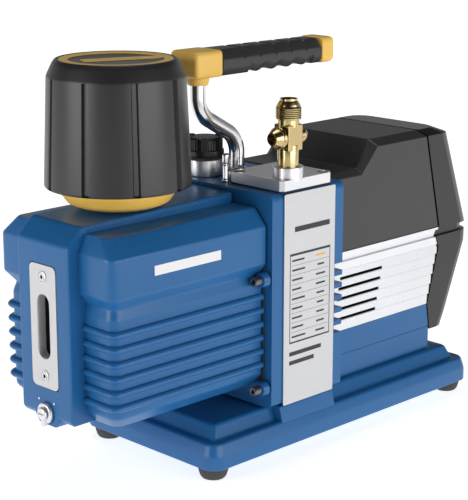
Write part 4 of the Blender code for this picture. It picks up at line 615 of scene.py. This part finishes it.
def make_drain():
    """Body, knob and spout are turned profiles. The knob has a slot for a screwdriver cut across its face."""
    low, high = span("drain_valve")
    seat = np.array((CASING_FRONT - 0.0003, 0.0, DRAIN_HEIGHT))
    corners = [(0.0, 0.0), (0.0078, 0.0), (0.0078, -0.0018), (0.0070, -0.0027), (0.0, -0.0027)]
    body = turned("drain_body", soften(corners, 0.0004, 3), seat, ALONG, 56)
    dress(body, SATIN_METAL, "pump", "polished_aluminium", "drain_valve")
    face = seat - (0.0033, 0, 0)
    corners = [(0.0, 0.0), (0.0048, 0.0), (0.0048, -0.0012), (0.0042, -0.0019), (0.0, -0.0019)]
    knob = turned("drain_handle", soften(corners, 0.0004, 3), face, ALONG, 48)
    slot = box_piece("screwdriver_slot", face + (-0.0040, -0.0030, -0.0006),
                     face + (-0.0011, 0.0030, 0.0006), 0)
    cut(knob, slot)
    dress(knob, SATIN_METAL, "drain_tap", "polished_aluminium", "drain_knob")
    corners = [(0.0, 0.0005), (0.0017, 0.0005), (0.0021, -0.0006), (0.0021, -0.0058), (0.0016, -0.0064),
               (0.0011, -0.0064), (0.0011, -0.0030), (0.0, -0.0030)]
    spout = turned("drain_spout", soften(corners, 0.0003, 3), face + (0.0007, 0, -0.0030), UP, 40)
    dress(spout, SATIN_METAL, "drain_tap", "polished_aluminium")
    for side, label in ((-1, "near"), (1, "far")):
        dot = turned(f"drain_mark_{label}", [(0, 0), (0.0008, 0), (0.0008, -0.0002), (0, -0.0002)],
                     (CASING_FRONT - 0.00005, side * 0.0085, DRAIN_HEIGHT + 0.0085), ALONG, 24)
        dress(dot, INK_WHITE, "pump", "plate_silver")


# ---- exhaust mist filter ----
GROOVE_COUNT, GROOVE_FIRST = 9, 4
GROOVE_DEPTH, GROOVE_HALF_WIDTH, GROOVE_FLANK = 0.0026, 0.0027, 0.0007


def make_filter():
    """The housing's radius is its profile's less a groove.

    The groove is depth * (half width - off) / flank, held between 0 and depth, where off is the length of
    arc from
    the nearest groove's middle.
    """
    centre = FILTER_CENTRE * (1, 1, 0)
    low, high = lows("filter_housing")[2], highs("filter_housing")[2]
    wide, shoulder, shoulder_z = 0.0527, 0.0493, 0.2955
    corners = [(0.0438, low + 0.0055), (0.0438, low), (wide - 0.0006, low), (wide, low + 0.0012),
               (shoulder, shoulder_z),
               (0.0450, high - 0.0030), (0.0430, high - 0.0006), (0.0415, high - 0.0004),
               (0.0410, high - 0.0016),
               (0.0, high - 0.0016)]
    profile = soften(corners, [0, 0.0003, 0.0005, 0.0008, 0.0012, 0.0014, 0.0006, 0.0004, 0.0003, 0], 4)
    steps = 480
    angles = np.arange(steps) * TURN / steps
    grooves = np.radians(GROOVE_FIRST + np.arange(GROOVE_COUNT) * (360 // GROOVE_COUNT))
    off = np.abs((angles[:, None] - grooves + math.pi) % TURN - math.pi).min(1) * wide
    depth = GROOVE_DEPTH * np.clip((GROOVE_HALF_WIDTH - off) / GROOVE_FLANK, 0, 1)
    grooved = ((profile[:, 1] > low + 0.0004) & (profile[:, 1] < shoulder_z - 0.0002) & (profile[:,
                                                                                                 0] > 0.0460))
    radius = profile[:, 0, None] - depth * grooved[:, None]
    grid = np.empty((len(profile), steps, 3))
    grid[:, :, 0] = centre[0] + radius * np.cos(angles)
    grid[:, :, 1] = centre[1] + radius * np.sin(angles)
    grid[:, :, 2] = profile[:, 1, None]
    dress(lattice("filter_shell", grid, sharp=24), FILTER_DARK, "mist_filter", "dark_plastic",
          "filter_housing")
    deck = high - 0.0016
    ring = soften([(0.0342, deck - 0.0004), (0.0405, deck - 0.0004), (0.0405, deck + 0.0009),
                   (0.0342, deck + 0.0009)],
                  0.0003, 3, closed=True)
    dress(turned("filter_band", ring, centre, steps=120, ring=True), YELLOW, "mist_filter", "yellow_plastic")
    bar = box_piece("filter_bar", (-0.0245, -0.0052, deck - 0.0004), (0.0352, 0.0052, deck + 0.0007), 0.0003)
    turn_in_place(bar, math.radians(-22), centre)
    dress(bar, YELLOW, "mist_filter", "yellow_plastic")
    cup_low = lows("filter_cup")[2]
    corners = [(0.0108, cup_low + 0.005), (0.0108, cup_low), (0.031, cup_low), (0.037, cup_low + 0.0028),
               (0.0428, low - 0.0030), (0.0433, low - 0.0006), (0.0433, low + 0.0040), (0.0400, low + 0.0040),
               (0.033, cup_low + 0.0062)]
    profile = soften(corners, 0.0012, 5, closed=True)
    dress(turned("filter_bowl", profile, centre, steps=144, ring=True), YELLOW, "mist_filter",
          "yellow_plastic",
          "filter_cup")
    neck_low, neck_top = lows("exhaust_neck")[2], highs("exhaust_neck")[2]
    corners = [(0.008, neck_low), (0.010, neck_low), (0.010, neck_top), (0.008, neck_top)]
    dress(turned("exhaust_stub", soften(corners, 0.0004, 3, closed=True), centre, steps=72, ring=True),
          POLISHED,
          "pump", "polished_aluminium", "exhaust_neck")


def turn_in_place(obj, angle, centre):
    """Turns a piece's points about the vertical through its origin, then moves them to a centre."""
    mesh = obj.data
    points = np.empty(len(mesh.vertices) * 3)
    mesh.vertices.foreach_get("co", points)
    points = points.reshape(-1, 3)
    cosine, sine = math.cos(angle), math.sin(angle)
    turned_x = points[:, 0] * cosine - points[:, 1] * sine
    turned_y = points[:, 0] * sine + points[:, 1] * cosine
    points[:, 0], points[:, 1] = turned_x + centre[0], turned_y + centre[1]
    mesh.vertices.foreach_set("co", points.ravel())
    mesh.update()


# ---- housing and rating plate ----
PRINT_TOP, PRINT_LOW, PRINT_LINE, PRINT_ROWS = 0.1565, 0.0900, 0.0006, 9
GASKET_LENGTH = 0.0548


def make_housing():
    """The plate's print is thin boxes: a ruled table whose rows hold a label bar and a value bar of random
    lengths."""
    dress(eased_copy("pump_housing", "housing_casting", 0.0009, 3), ENAMEL, "pump", "blue_enamel",
          "pump_housing")
    dress(eased_copy("rating_plate", "plate_sheet", 0.0003, 2), PLATE, "pump", "plate_silver", "rating_plate")
    outline = rounded_box(BLOCK_LOW[0] + 0.0002, BLOCK_LOW[0] + GASKET_LENGTH, -HOUSING_HIGH[1] + 0.0002,
                          -0.0122, 0.003, 4)
    gasket = prism("intake_gasket", outline, 2, HOUSING_HIGH[2] + 0.0001, BLOCK_LOW[2] - 0.0001)
    dress(gasket, GASKET, "pump", "gasket_paper")
    face = PLATE_LOW[1] - 0.00002
    left, right = PLATE_LOW[0] + 0.0060, PLATE_HIGH[0] - 0.0052
    frame_top, frame_low, line, rows = PRINT_TOP, PRINT_LOW, PRINT_LINE, PRINT_ROWS

    def bar(name, x0, x1, z0, z1, ink):
        low, high = (x0, face - 0.00008, z0), (x1, face + 0.00002, z1)
        dress(box_piece(name, low, high, 0), ink, "pump", "plate_silver")

    bar("print_frame_top", left, right, frame_top, frame_top + 3 * line, INK_DARK)
    bar("print_frame_low", left, right, frame_low - 2 * line, frame_low, INK_DARK)
    bar("print_frame_left", left, left + line, frame_low, frame_top, INK_DARK)
    bar("print_frame_right", right - line, right, frame_low, frame_top, INK_DARK)
    pitch = (frame_top - frame_low) / rows
    random = np.random.default_rng(7)
    for row in range(rows):
        z = frame_top - (row + 0.5) * pitch
        first, second = random.uniform(0.010, 0.015), random.uniform(0.006, 0.011)
        bar(f"print_label_{row}", left + 0.0025, left + 0.0025 + first, z - 0.0007, z + 0.0007, INK_DARK)
        middle = right - 0.0105
        ink = INK_AMBER if row == 0 else INK_DARK
        bar(f"print_value_{row}", middle - second / 2, middle + second / 2, z - 0.0007, z + 0.0007, ink)
        if row:
            bar(f"print_rule_{row}", left + 0.0015, right - 0.0015, z + pitch / 2 - 0.0001,
                z + pitch / 2 + 0.0001,
                INK_DARK)
    bar("print_stripe_wide", left, right - 0.009, 0.0790, 0.0822, INK_DARK)
    bar("print_stripe_thin", left, right - 0.017, 0.0720, 0.0752, INK_DARK)
    bar("print_header", left + 0.0050, right - 0.0010, 0.1745, 0.1785, INK_DARK)


# ---- intake ----
BLOCK_LENGTH, BLOCK_WIDTH, BLOCK_HEIGHT, BLOCK_CORNER = 0.055, 0.056, 0.0079, 0.0030
BODY_LOW, BODY_TOP, BODY_HALF = 0.2343, 0.2536, 0.0075
STEM_LOW, STEM_RADIUS = 0.2098, 0.0080
FLARE_TOP_RADIUS, FLARE_FRONT_RADIUS, FLARE_REAR_RADIUS = 0.0099, 0.0086, 0.0064


def make_intake():
    """The plate is an outline with cut corners carried up. The collar and the screws are turned profiles."""
    top = BLOCK_LOW[2] + BLOCK_HEIGHT
    left, near, inset = BLOCK_LOW[0], -HOUSING_HIGH[1], BLOCK_CORNER
    right, far = left + BLOCK_LENGTH, near + BLOCK_WIDTH
    corners = [(left + inset, near), (right - inset, near), (right, near + inset), (right, far - inset),
               (right - inset, far), (left + inset, far), (left, far - inset), (left, near + inset)]
    block = prism("intake_plate", corners, 2, BLOCK_LOW[2], top)
    cutters = []
    for node in ("intake_screw_near", "intake_screw_far"):
        middle = centre_of(node)
        well = [(0, top - 0.0030), (0.0022, top - 0.0030), (0.0045, top - 0.0004), (0.0047, top + 0.01),
                (0, top + 0.01)]
        cutters.append(turned("screw_well", well, middle * (1, 1, 0), steps=48))
    cut(block, *cutters)
    ease(block, 0.0003, 2)
    dress(block, SATIN_METAL, "pump", "polished_aluminium", "intake_block")
    for node in ("intake_screw_near", "intake_screw_far"):
        middle = centre_of(node)
        corners = [(0, top - 0.0020), (0.0013, top - 0.0020), (0.0015, top - 0.0008), (0.0038, top - 0.0008),
                   (0.0042, top - 0.0010), (0.0020, top - 0.0034), (0, top - 0.0034)]
        screw = turned(node.replace("intake", "block"), corners, middle * (1, 1, 0), steps=40, sharp=30)
        dress(screw, STEEL, "pump", "screw_steel", node)
    corners = [(0.0078, top - 0.002), (0.0115, top - 0.002), (0.0115, 0.2225), (0.0078, 0.2225)]
    collar = turned("intake_collar", soften(corners, [0, 0, 0.0010, 0.0004], 4, closed=True), INTAKE,
                    ring=True)
    dress(collar, SATIN_METAL, "pump", "polished_aluminium")


def flare(radius, start, tip, bore, back):
    """Outside then inside of a flare end: thread ridges between the root and a 45 degree cone.

    A ridge's radius is the thread's less 0.2 mm, less 0.45 mm * (1 - cos(turn * place / pitch)) / 2.
    """
    pitch = 0.0014 if radius > 0.007 else 0.0011
    end = tip - radius * 0.60
    ridge_places = np.arange(start + 0.0006, end - 0.0002, pitch / 4)
    ridge = radius - 0.0002 - 0.00045 * (0.5 - 0.5 * np.cos((ridge_places - start) / pitch * TURN))
    thread = np.stack([ridge, ridge_places], 1)
    head = [(radius * 0.80, back), (radius * 0.80, start - 0.0004), (radius * 0.93, start), ]
    nose = [(radius * 0.90, end), (radius * 0.90, tip - radius * 0.50), (radius * 0.56, tip),
            (bore, tip - 0.0001)]
    nose += [(bore, tip - 0.012), (0.0, tip - 0.012)]
    return np.concatenate([[(0.0, back)], head, thread, nose])


def make_fitting():
    """A square body with eased edges on a turned stem, and a turned flare end on each of three sides."""
    low, top, half = BODY_LOW, BODY_TOP, BODY_HALF
    middle = INTAKE + UP * (low + top) / 2
    stem = turned("fitting_stem", soften([(0.0, STEM_LOW), (STEM_RADIUS, STEM_LOW),
                                          (STEM_RADIUS, low + 0.004),
                                          (0.0, low + 0.004)], 0.0002, 2), INTAKE, steps=64)
    dress(stem, BRASS, "pump", "brass", "intake_fitting")
    ahead = -ALONG
    body = box_piece("fitting_body", INTAKE + (-half, -half, low), INTAKE + (half, half, top), 0.0007, 3)
    dress(body, BRASS, "pump", "brass")
    main = flare(FLARE_TOP_RADIUS, top + 0.0036, highs("intake_fitting")[2], 0.0066, top - 0.002)
    dress(turned("fitting_top_flare", main, INTAKE, steps=96, sharp=50), BRASS, "pump", "brass")
    front = flare(FLARE_FRONT_RADIUS, half + 0.0015, 0.0175, 0.0036, half - 0.003)
    dress(turned("fitting_front_flare", front, middle, ahead, 80, sharp=50), BRASS, "pump", "brass")
    rear = flare(FLARE_REAR_RADIUS, half + 0.0015, 0.0170, 0.0026, half - 0.003)
    dress(turned("fitting_rear_flare", rear, middle, -ahead, 72, sharp=50), BRASS, "pump", "brass")


# ---- handle ----
POST_X, POST_TOP_X = -0.0177, -0.058
BEND_LOW, BEND_HIGH, BEND_RADIUS, TUBE_RADIUS = 0.2360, 0.2589, 0.020, 0.006
GRIP_HALF_WIDTH, GRIP_TAPER = 0.015, 0.00275
PAD_START, PAD_PITCH, PAD_COUNT = 0.022, 0.0172, 5.2
NOTCH_WIDTH, NOTCH_DEPTH, WAVE_HEIGHT = 0.12, 0.0016, 0.0022


def tube_path(corners, radius, steps=14):
    """Straight runs in the XZ plane joined by arcs that touch both runs."""
    path = [np.asarray(corners[0], float)]
    for before, corner, after in zip(corners, corners[1:], corners[2:]):
        before, corner, after = (np.asarray(point, float) for point in (before, corner, after))
        first = (before - corner) / np.linalg.norm(before - corner)
        second = (after - corner) / np.linalg.norm(after - corner)
        half_angle = math.acos(float(first @ second)) / 2
        bisector = (first + second) / np.linalg.norm(first + second)
        middle = corner + bisector * radius / math.sin(half_angle)
        start = corner + first * radius / math.tan(half_angle) - middle
        end = corner + second * radius / math.tan(half_angle) - middle
        sweep = math.acos(float(np.clip(start @ end / radius**2, -1, 1)))
        share = np.linspace(0, 1, steps)[:, None]
        swept = np.sin((1 - share) * sweep) * start + np.sin(share * sweep) * end
        path += list(middle + swept / math.sin(sweep))
    return np.array(path + [np.asarray(corners[-1], float)])


def make_handle():
    """The tube is a circle carried along the path, square to it. The grip is a chamfered section carried
    along X.

    Where along is the number of pads passed, the grip's top dips by the notch depth * (1 - |along % 1 - w| /
    w), not
    below 0, with w the notch width. Its underside rises by the wave height * (1 - cos(turn * along)) / 2.
    """
    low, high = span("handle_tube")
    post, top_x, radius = POST_X, POST_TOP_X, TUBE_RADIUS
    path = tube_path([(post, low[2]), (post, BEND_LOW), (top_x, BEND_HIGH), (top_x, high[2])], BEND_RADIUS)
    ahead = np.gradient(path, axis=0)
    ahead /= np.linalg.norm(ahead, axis=1)[:, None]
    angle = np.arange(48) * TURN / 48
    grid = np.empty((len(path), 48, 3))
    grid[:, :, 0] = path[:, 0, None] - ahead[:, 1, None] * np.cos(angle) * radius
    grid[:, :, 1] = np.sin(angle) * radius
    grid[:, :, 2] = path[:, 1, None] + ahead[:, 0, None] * np.cos(angle) * radius
    dress(lattice("handle_bar", grid), CHROME, "pump", "chrome", "handle_tube")
    corners = [(0.0, low[2]), (0.0095, low[2]), (0.0095, low[2] + 0.0055), (0.0075, low[2] + 0.0075),
               (0.0060, low[2] + 0.0080), (0.0, low[2] + 0.0080)]
    dress(turned("handle_flange", soften(corners, 0.0006, 4), (post, 0, 0)), SATIN_METAL, "pump", "chrome")
    base, crown = GRIP_LOW[2], GRIP_HIGH[2]
    front_low, front_high = lows("handle_front_cap"), highs("handle_front_cap")
    rear_low, rear_high = lows("handle_rear_cap"), highs("handle_rear_cap")

    def half_width(x):
        return GRIP_HALF_WIDTH - (x - front_low[0]) / (rear_high[0] - front_low[0]) * GRIP_TAPER

    def bar(name, stations, radius_low, radius_high, material, node, slot):
        rings = []
        for x, inset in stations:
            side, z0, z1 = half_width(x) - inset, base + inset, crown - inset
            section = soften([(-side, z0), (side, z0), (side, z1), (-side, z1)],
                             [radius_low, radius_low, radius_high, radius_high], 6, closed=True)
            rings.append(np.column_stack([np.full(len(section), x), section]))
        return dress(lattice(name, np.array(rings), sharp=32), material, "pump", slot, node)

    end, join = front_low[0], front_high[0]
    stations = [(end, 0.0030), (end + 0.0006, 0.0016), (end + 0.0018, 0.0005), (end + 0.0035, 0.0),
                (join - 0.0006, 0.0),
                (join, 0.0006)]
    bar("grip_front_end", stations, 0.0042, 0.0042, YELLOW, "handle_front_cap", "yellow_plastic")
    collar = [(0.0, front_low[2]), (0.0076, front_low[2]), (0.0080, front_low[2] + 0.0012),
              (0.0086, base - 0.001),
              (0.0086, base + 0.002), (0.0, base + 0.002)]
    socket = turned("grip_socket", soften(collar, [0, 0.0004, 0.0006, 0.0004, 0, 0], 3), (top_x, 0, 0),
                    steps=64)
    dress(socket, YELLOW, "pump", "yellow_plastic")
    start, finish = GRIP_LOW[0], GRIP_HIGH[0]
    places = np.concatenate([[start, start + 0.0008], np.linspace(start + 0.003, finish - 0.003, 120),
                             [finish - 0.0008, finish]])
    along = (places - start - PAD_START) / PAD_PITCH
    inside = (along > 0) & (along < PAD_COUNT)
    notch = np.where(inside, np.clip(1.0 - np.abs((along % 1.0) - NOTCH_WIDTH) / NOTCH_WIDTH, 0, 1), 0.0)
    wave = np.where((places > start + 0.030) & (places < finish - 0.010), 0.5 - 0.5 * np.cos(along * TURN),
                    0.0)
    shrink = np.where((places < start + 0.0005) | (places > finish - 0.0005), 0.0012, 0.0003)
    rings = []
    for x, dip, rise, inset in zip(places, NOTCH_DEPTH * notch, WAVE_HEIGHT * wave, shrink):
        side, z0, z1 = half_width(x) - inset, base + inset + rise, crown - inset - dip
        section = soften([(-side, z0 + 0.0055), (-side + 0.0030, z0), (side - 0.0030, z0),
                          (side, z0 + 0.0055),
                          (side, z1 - 0.0072), (side - 0.0048, z1), (-side + 0.0048, z1),
                          (-side, z1 - 0.0072)],
                         0.0009, 3, closed=True)
        rings.append(np.column_stack([np.full(len(section), x), section]))
    dress(lattice("grip_body", np.array(rings), sharp=20), GRIP, "pump", "grip_plastic", "handle_grip")
    join, end = rear_low[0], rear_high[0]
    stations = [(join, 0.0006), (join + 0.0006, 0.0), (end - 0.0040, 0.0), (end - 0.0018, 0.0006),
                (end - 0.0006, 0.0018),
                (end, 0.0034)]
    bar("grip_rear_end", stations, 0.0042, 0.0042, YELLOW, "handle_rear_cap", "yellow_plastic")


# ---- oil filler and gas ballast ----
FLUTE_COUNT, FLUTE_DEPTH, LUG_COUNT, LUG_FIRST = 36, 0.0007, 3, 225


def make_filler():
    """The cap's radius has flutes: it is less by depth * (-1.6 * cos(count * angle)), held between 0 and
    depth."""
    centre = FILLER * (1, 1, 0)
    low, top = lows("filler_neck")[2], highs("filler_neck")[2]
    shoulder = top - 0.006
    corners = [(0.008, low), (0.0142, low), (0.0142, shoulder), (0.0124, shoulder), (0.0124, top),
               (0.008, top)]
    neck = turned("filler_stub", soften(corners, 0.0004, 3, closed=True), centre, ring=True)
    dress(neck, SATIN_METAL, "pump", "polished_aluminium", "filler_neck")
    cap_low, cap_top = lows("filler_cap")[2], highs("filler_cap")[2]
    corners = [(0.0, top + 0.0008), (0.0130, top + 0.0008), (0.0130, cap_low), (0.0148, cap_low),
               (0.0148, cap_low + 0.0044), (0.0142, cap_low + 0.0050), (0.0138, cap_low + 0.0052),
               (0.0138, cap_top - 0.0022), (0.0122, cap_top - 0.0010), (0.0, cap_top - 0.0010)]
    profile = soften(corners, [0, 0, 0, 0.0006, 0.0006, 0, 0.0003, 0.0012, 0.0006, 0], 4)
    steps = 288
    angles = np.arange(steps) * TURN / steps
    ribs = FLUTE_DEPTH * np.clip(-np.cos(FLUTE_COUNT * angles) * 1.6, 0, 1)
    fluted = (profile[:, 1] > cap_low + 0.0051) & (profile[:, 0] > 0.0118)
    radius = profile[:, 0, None] - ribs * fluted[:, None]
    grid = np.empty((len(profile), steps, 3))
    grid[:, :, 0] = centre[0] + radius * np.cos(angles)
    grid[:, :, 1] = centre[1] + radius * np.sin(angles)
    grid[:, :, 2] = profile[:, 1, None]
    dress(lattice("filler_knob", grid, sharp=30), CAP_BLACK, "filler_plug", "black_plastic", "filler_cap")
    for lug in range(LUG_COUNT):
        wing = box_piece(f"filler_lug_{lug}", (0.0100, -0.0026, cap_low + 0.002), (0.0147, 0.0026, cap_top),
                         0.0009, 3)
        turn_in_place(wing, math.radians(LUG_FIRST + 360 // LUG_COUNT * lug), centre)
        dress(wing, CAP_BLACK, "filler_plug", "black_plastic")


def make_gas_ballast():
    """A turned stem with a waist under its head and a slot cut across the top."""
    low, high = span("gas_ballast_valve")
    centre = centre_of("gas_ballast_valve") * (1, 1, 0)
    z, top = low[2], high[2]
    corners = [(0.0, z), (0.0029, z), (0.0029, z + 0.002), (0.0023, z + 0.0026), (0.0023, z + 0.0128),
               (0.0019, z + 0.0132), (0.0019, z + 0.0142), (0.0027, z + 0.0146), (0.0027, top - 0.0010),
               (0.0021, top - 0.0001), (0.0, top - 0.0001)]
    valve = turned("ballast_stem", soften(corners, 0.0003, 3), centre, steps=48, sharp=30)
    slot = box_piece("ballast_slot", (centre[0] - 0.0040, centre[1] - 0.0003, top - 0.0008),
                     (centre[0] + 0.0040, centre[1] + 0.0003, top + 0.001), 0)
    dress(cut(valve, slot), POLISHED, "ballast_valve", "polished_aluminium", "gas_ballast_valve")


# ---- motor ----
FRAME_GROOVE_HEIGHT = 0.0592
LOUVRE_PITCH, LOUVRE_RIBS, VENT_COUNT = 0.00825, 6, 5
VENT_RISE, VENT_START, VENT_SHIFT, VENT_LENGTH, VENT_HALF_HEIGHT = 0.0014, 0.0148, 0.00185, 0.0512, 0.0014


def make_motor():
    """The fixed shapes with eased edges, a line cut along the frame and a groove cut under each louvre rib.

    Rib n's groove ends at foot + n * pitch. Vent n is at foot + (count - n) * pitch + rise and starts n
    shifts ahead.
    """
    frame_piece = eased_copy("motor_frame", "motor_cradle", 0)
    half, low = highs("motor_frame")[1], lows("motor_frame")[2]
    left, right = lows("motor_frame")[0] - 0.01, highs("motor_frame")[0] + 0.01
    groove = FRAME_GROOVE_HEIGHT
    cutters = [box_piece("frame_groove", (left, side * half - 0.0004, groove - 0.00035),
                         (right, side * half + 0.0004, groove + 0.00035), 0) for side in (-1, 1)]
    cut(frame_piece, *cutters)
    dress(frame_piece, ENAMEL, "pump", "blue_enamel", "motor_frame")
    for side in ("near", "far"):
        louvre = eased_copy(f"side_louvre_{side}", f"louvre_panel_{side}", 0, angle=4)
        foot, wall = lows(f"side_louvre_{side}")[2], highs("side_louvre_far")[1]
        sign = -1 if side == "near" else 1
        grooves = []
        for rib in range(1, LOUVRE_RIBS + 1):
            z = foot + rib * LOUVRE_PITCH
            depths = sorted((sign * (wall - 0.0018), sign * (wall + 0.01)))
            grooves.append(box_piece("louvre_groove", (left, depths[0], z - 0.0009),
                                     (right, depths[1], z + 0.00005), 0))
        cut(louvre, *grooves)
        dress(louvre, SILVER, "pump", "silver_panel", f"side_louvre_{side}")
        for slot in range(VENT_COUNT):
            z = foot + (VENT_COUNT - slot) * LOUVRE_PITCH + VENT_RISE
            first = lows("motor_cover")[0] + VENT_START - slot * VENT_SHIFT
            depths = sorted((sign * (wall - 0.0016), sign * (wall - 0.0032)))
            plug = box_piece(f"louvre_shadow_{side}_{slot}", (first - 0.0002, depths[0],
                                                              z - VENT_HALF_HEIGHT),
                             (first + VENT_LENGTH, depths[1], z + VENT_HALF_HEIGHT), 0)
            dress(plug, SHADOW, "pump", "silver_panel")
    dress(eased_copy("motor_cover", "motor_hood", 0.0008, 3, 16), COVER_DARK, "pump", "dark_plastic",
          "motor_cover")
    dress(eased_copy("rear_cover", "motor_end_cover", 0.0016, 3), COVER_BLACK, "pump", "black_plastic",
          "rear_cover")
    dress(eased_copy("power_switch", "switch_rocker_cap", 0.0004, 3, 20), CAP_BLACK, "switch_rocker",
          "black_plastic",
          "power_switch")
    dress(eased_copy("power_inlet", "mains_inlet", 0.0003, 2), CAP_BLACK, "pump", "black_plastic",
          "power_inlet")
    low, high = span("power_inlet")
    middle = (low + high) / 2
    for pin, (dx, dz) in enumerate(((0.0, 0.004), (-0.0045, -0.004), (0.0045, -0.004))):
        blade = box_piece(f"inlet_pin_{pin}", (middle[0] + dx - 0.0007, high[1] - 0.0085,
                                               middle[2] + dz - 0.0019),
                          (middle[0] + dx + 0.0007, high[1] - 0.0020, middle[2] + dz + 0.0019), 0.0003)
        dress(blade, STEEL, "pump", "screw_steel")


# ---- stage, light and camera ----
FLOOR_GLOW_NEAR = 0.66
FLOOR_GLOW_FAR = 1.0
FLOOR_EDGE = 12.0
CAMERA_PLACE = (-0.84045, -0.8271, 0.4450)
CAMERA_PITCH, CAMERA_HEADING, CAMERA_LENS = 14.33, -44.75, 111.6


def floor_material():
    """Pale paper whose glow follows a ramp along one level direction: bright behind the pump, dimmer before
    it."""
    material = finish_material("floor_white", (0.90, 0.90, 0.90), 0.9, blotch=0.01)
    tree = material.node_tree
    place = add_node(tree, "ShaderNodeTexCoord").outputs["Object"]
    across = add_node(tree, "ShaderNodeVectorMath", {0: place, 1: (0.72, 0.69, 0.0)}, operation="DOT_PRODUCT")
    spread = add_node(tree, "ShaderNodeMapRange", {"From Min": -2.40, "From Max": 1.20,
                                                   "Value": across.outputs["Value"]})
    glow = add_node(tree, "ShaderNodeValToRGB", {"Fac": spread.outputs["Result"]})
    stops = ((0.0, 0.95), (0.25, 0.60), (0.40, 0.22), (0.49, 0.22), (0.565, FLOOR_GLOW_NEAR),
             (1.0, FLOOR_GLOW_FAR))
    for position, level in stops[1:-1]:
        glow.color_ramp.elements.new(position)
    for stop, (position, level) in zip(glow.color_ramp.elements, stops):
        stop.position = position
        stop.color = (level, level, level, 1)
    feed(tree, tree.nodes["Principled BSDF"], {"Emission Color": (1, 1, 1, 1),
                                               "Emission Strength": glow.outputs["Color"]})
    return material


def area_light(name, place, aim, size, size_y, power, colour=(1, 1, 1)):
    """A rectangular soft box that faces the aim."""
    data = bpy.data.lights.new(name, "AREA")
    data.shape = "RECTANGLE"
    data.size, data.size_y = size, size_y
    data.energy = power
    data.color = colour
    obj = bpy.data.objects.new(name, data)
    obj.location = place
    obj.rotation_euler = (Vector(aim) - Vector(place)).to_track_quat("-Z", "Y").to_euler()
    bpy.context.scene.collection.objects.link(obj)
    return obj


def make_stage():
    """A level floor, a sky that is bright at the horizon and dark above, with a dimmer patch, and three soft
    boxes."""
    edge = FLOOR_EDGE
    floor = mesh_piece("floor", [(-edge, -edge, 0), (edge, -edge, 0), (edge, edge, 0), (-edge, edge, 0)],
                       [(0, 1, 2, 3)])
    floor.data.materials.append(floor_material())
    world = bpy.data.worlds.new("studio")
    bpy.context.scene.world = world
    world.use_nodes = True
    tree = world.node_tree
    sky = tree.nodes["Background"]
    place = add_node(tree, "ShaderNodeTexCoord").outputs["Generated"]
    split = add_node(tree, "ShaderNodeSeparateXYZ", {"Vector": place})
    ramp = add_node(tree, "ShaderNodeValToRGB", {"Fac": split.outputs["Z"]})
    for stop, position, colour in zip(ramp.color_ramp.elements, (0.05, 0.42), ((0.60, 0.60, 0.61, 1),
                                                                               (0.02, 0.02, 0.022, 1))):
        stop.position = position
        stop.color = colour
    facing = add_node(tree, "ShaderNodeVectorMath", {0: place, 1: (-0.72, -0.69, 0.0)},
                      operation="DOT_PRODUCT")
    dim = add_node(tree, "ShaderNodeMapRange", {"From Min": 0.80, "From Max": 0.96, "To Min": 1.0,
                                                "To Max": 0.30,
                                                "Value": facing.outputs["Value"]})
    shade = add_node(tree, "ShaderNodeVectorMath", operation="SCALE")
    feed(tree, shade, {0: ramp.outputs["Color"], "Scale": dim.outputs["Result"]})
    feed(tree, sky, {"Color": shade.outputs["Vector"], "Strength": 1.0})
    area_light("side_panel_light", (0.15, -1.60, 0.45), (0.0, 0, 0.12), 1.6, 0.9, 15)
    area_light("front_panel_light", (-1.60, 0.30, 0.45), (-0.1, 0, 0.14), 1.1, 0.9, 12)
    area_light("top_soft_light", (0.2, 0.3, 1.6), (0, 0, 0.15), 0.8, 0.8, 5)


def make_camera():
    """The main view, from ahead of the casing on the near side and a little above."""
    data = bpy.data.cameras.new("camera")
    data.sensor_width = 36
    data.sensor_fit = "AUTO"
    data.lens = CAMERA_LENS
    data.clip_start, data.clip_end = 0.01, 50
    obj = bpy.data.objects.new("camera", data)
    obj.location = CAMERA_PLACE
    obj.rotation_euler = (math.radians(90 - CAMERA_PITCH), 0, math.radians(CAMERA_HEADING))
    bpy.context.scene.collection.objects.link(obj)
    bpy.context.scene.camera = obj


bpy.context.scene.view_settings.view_transform = "Standard"
make_camera()
make_stage()
finish_nodes()
make_base()
make_housing()
make_casing()
make_casing_screws()
make_window()
make_drain()
make_filter()
make_intake()
make_fitting()
make_handle()
make_filler()
make_gas_ballast()
make_motor()
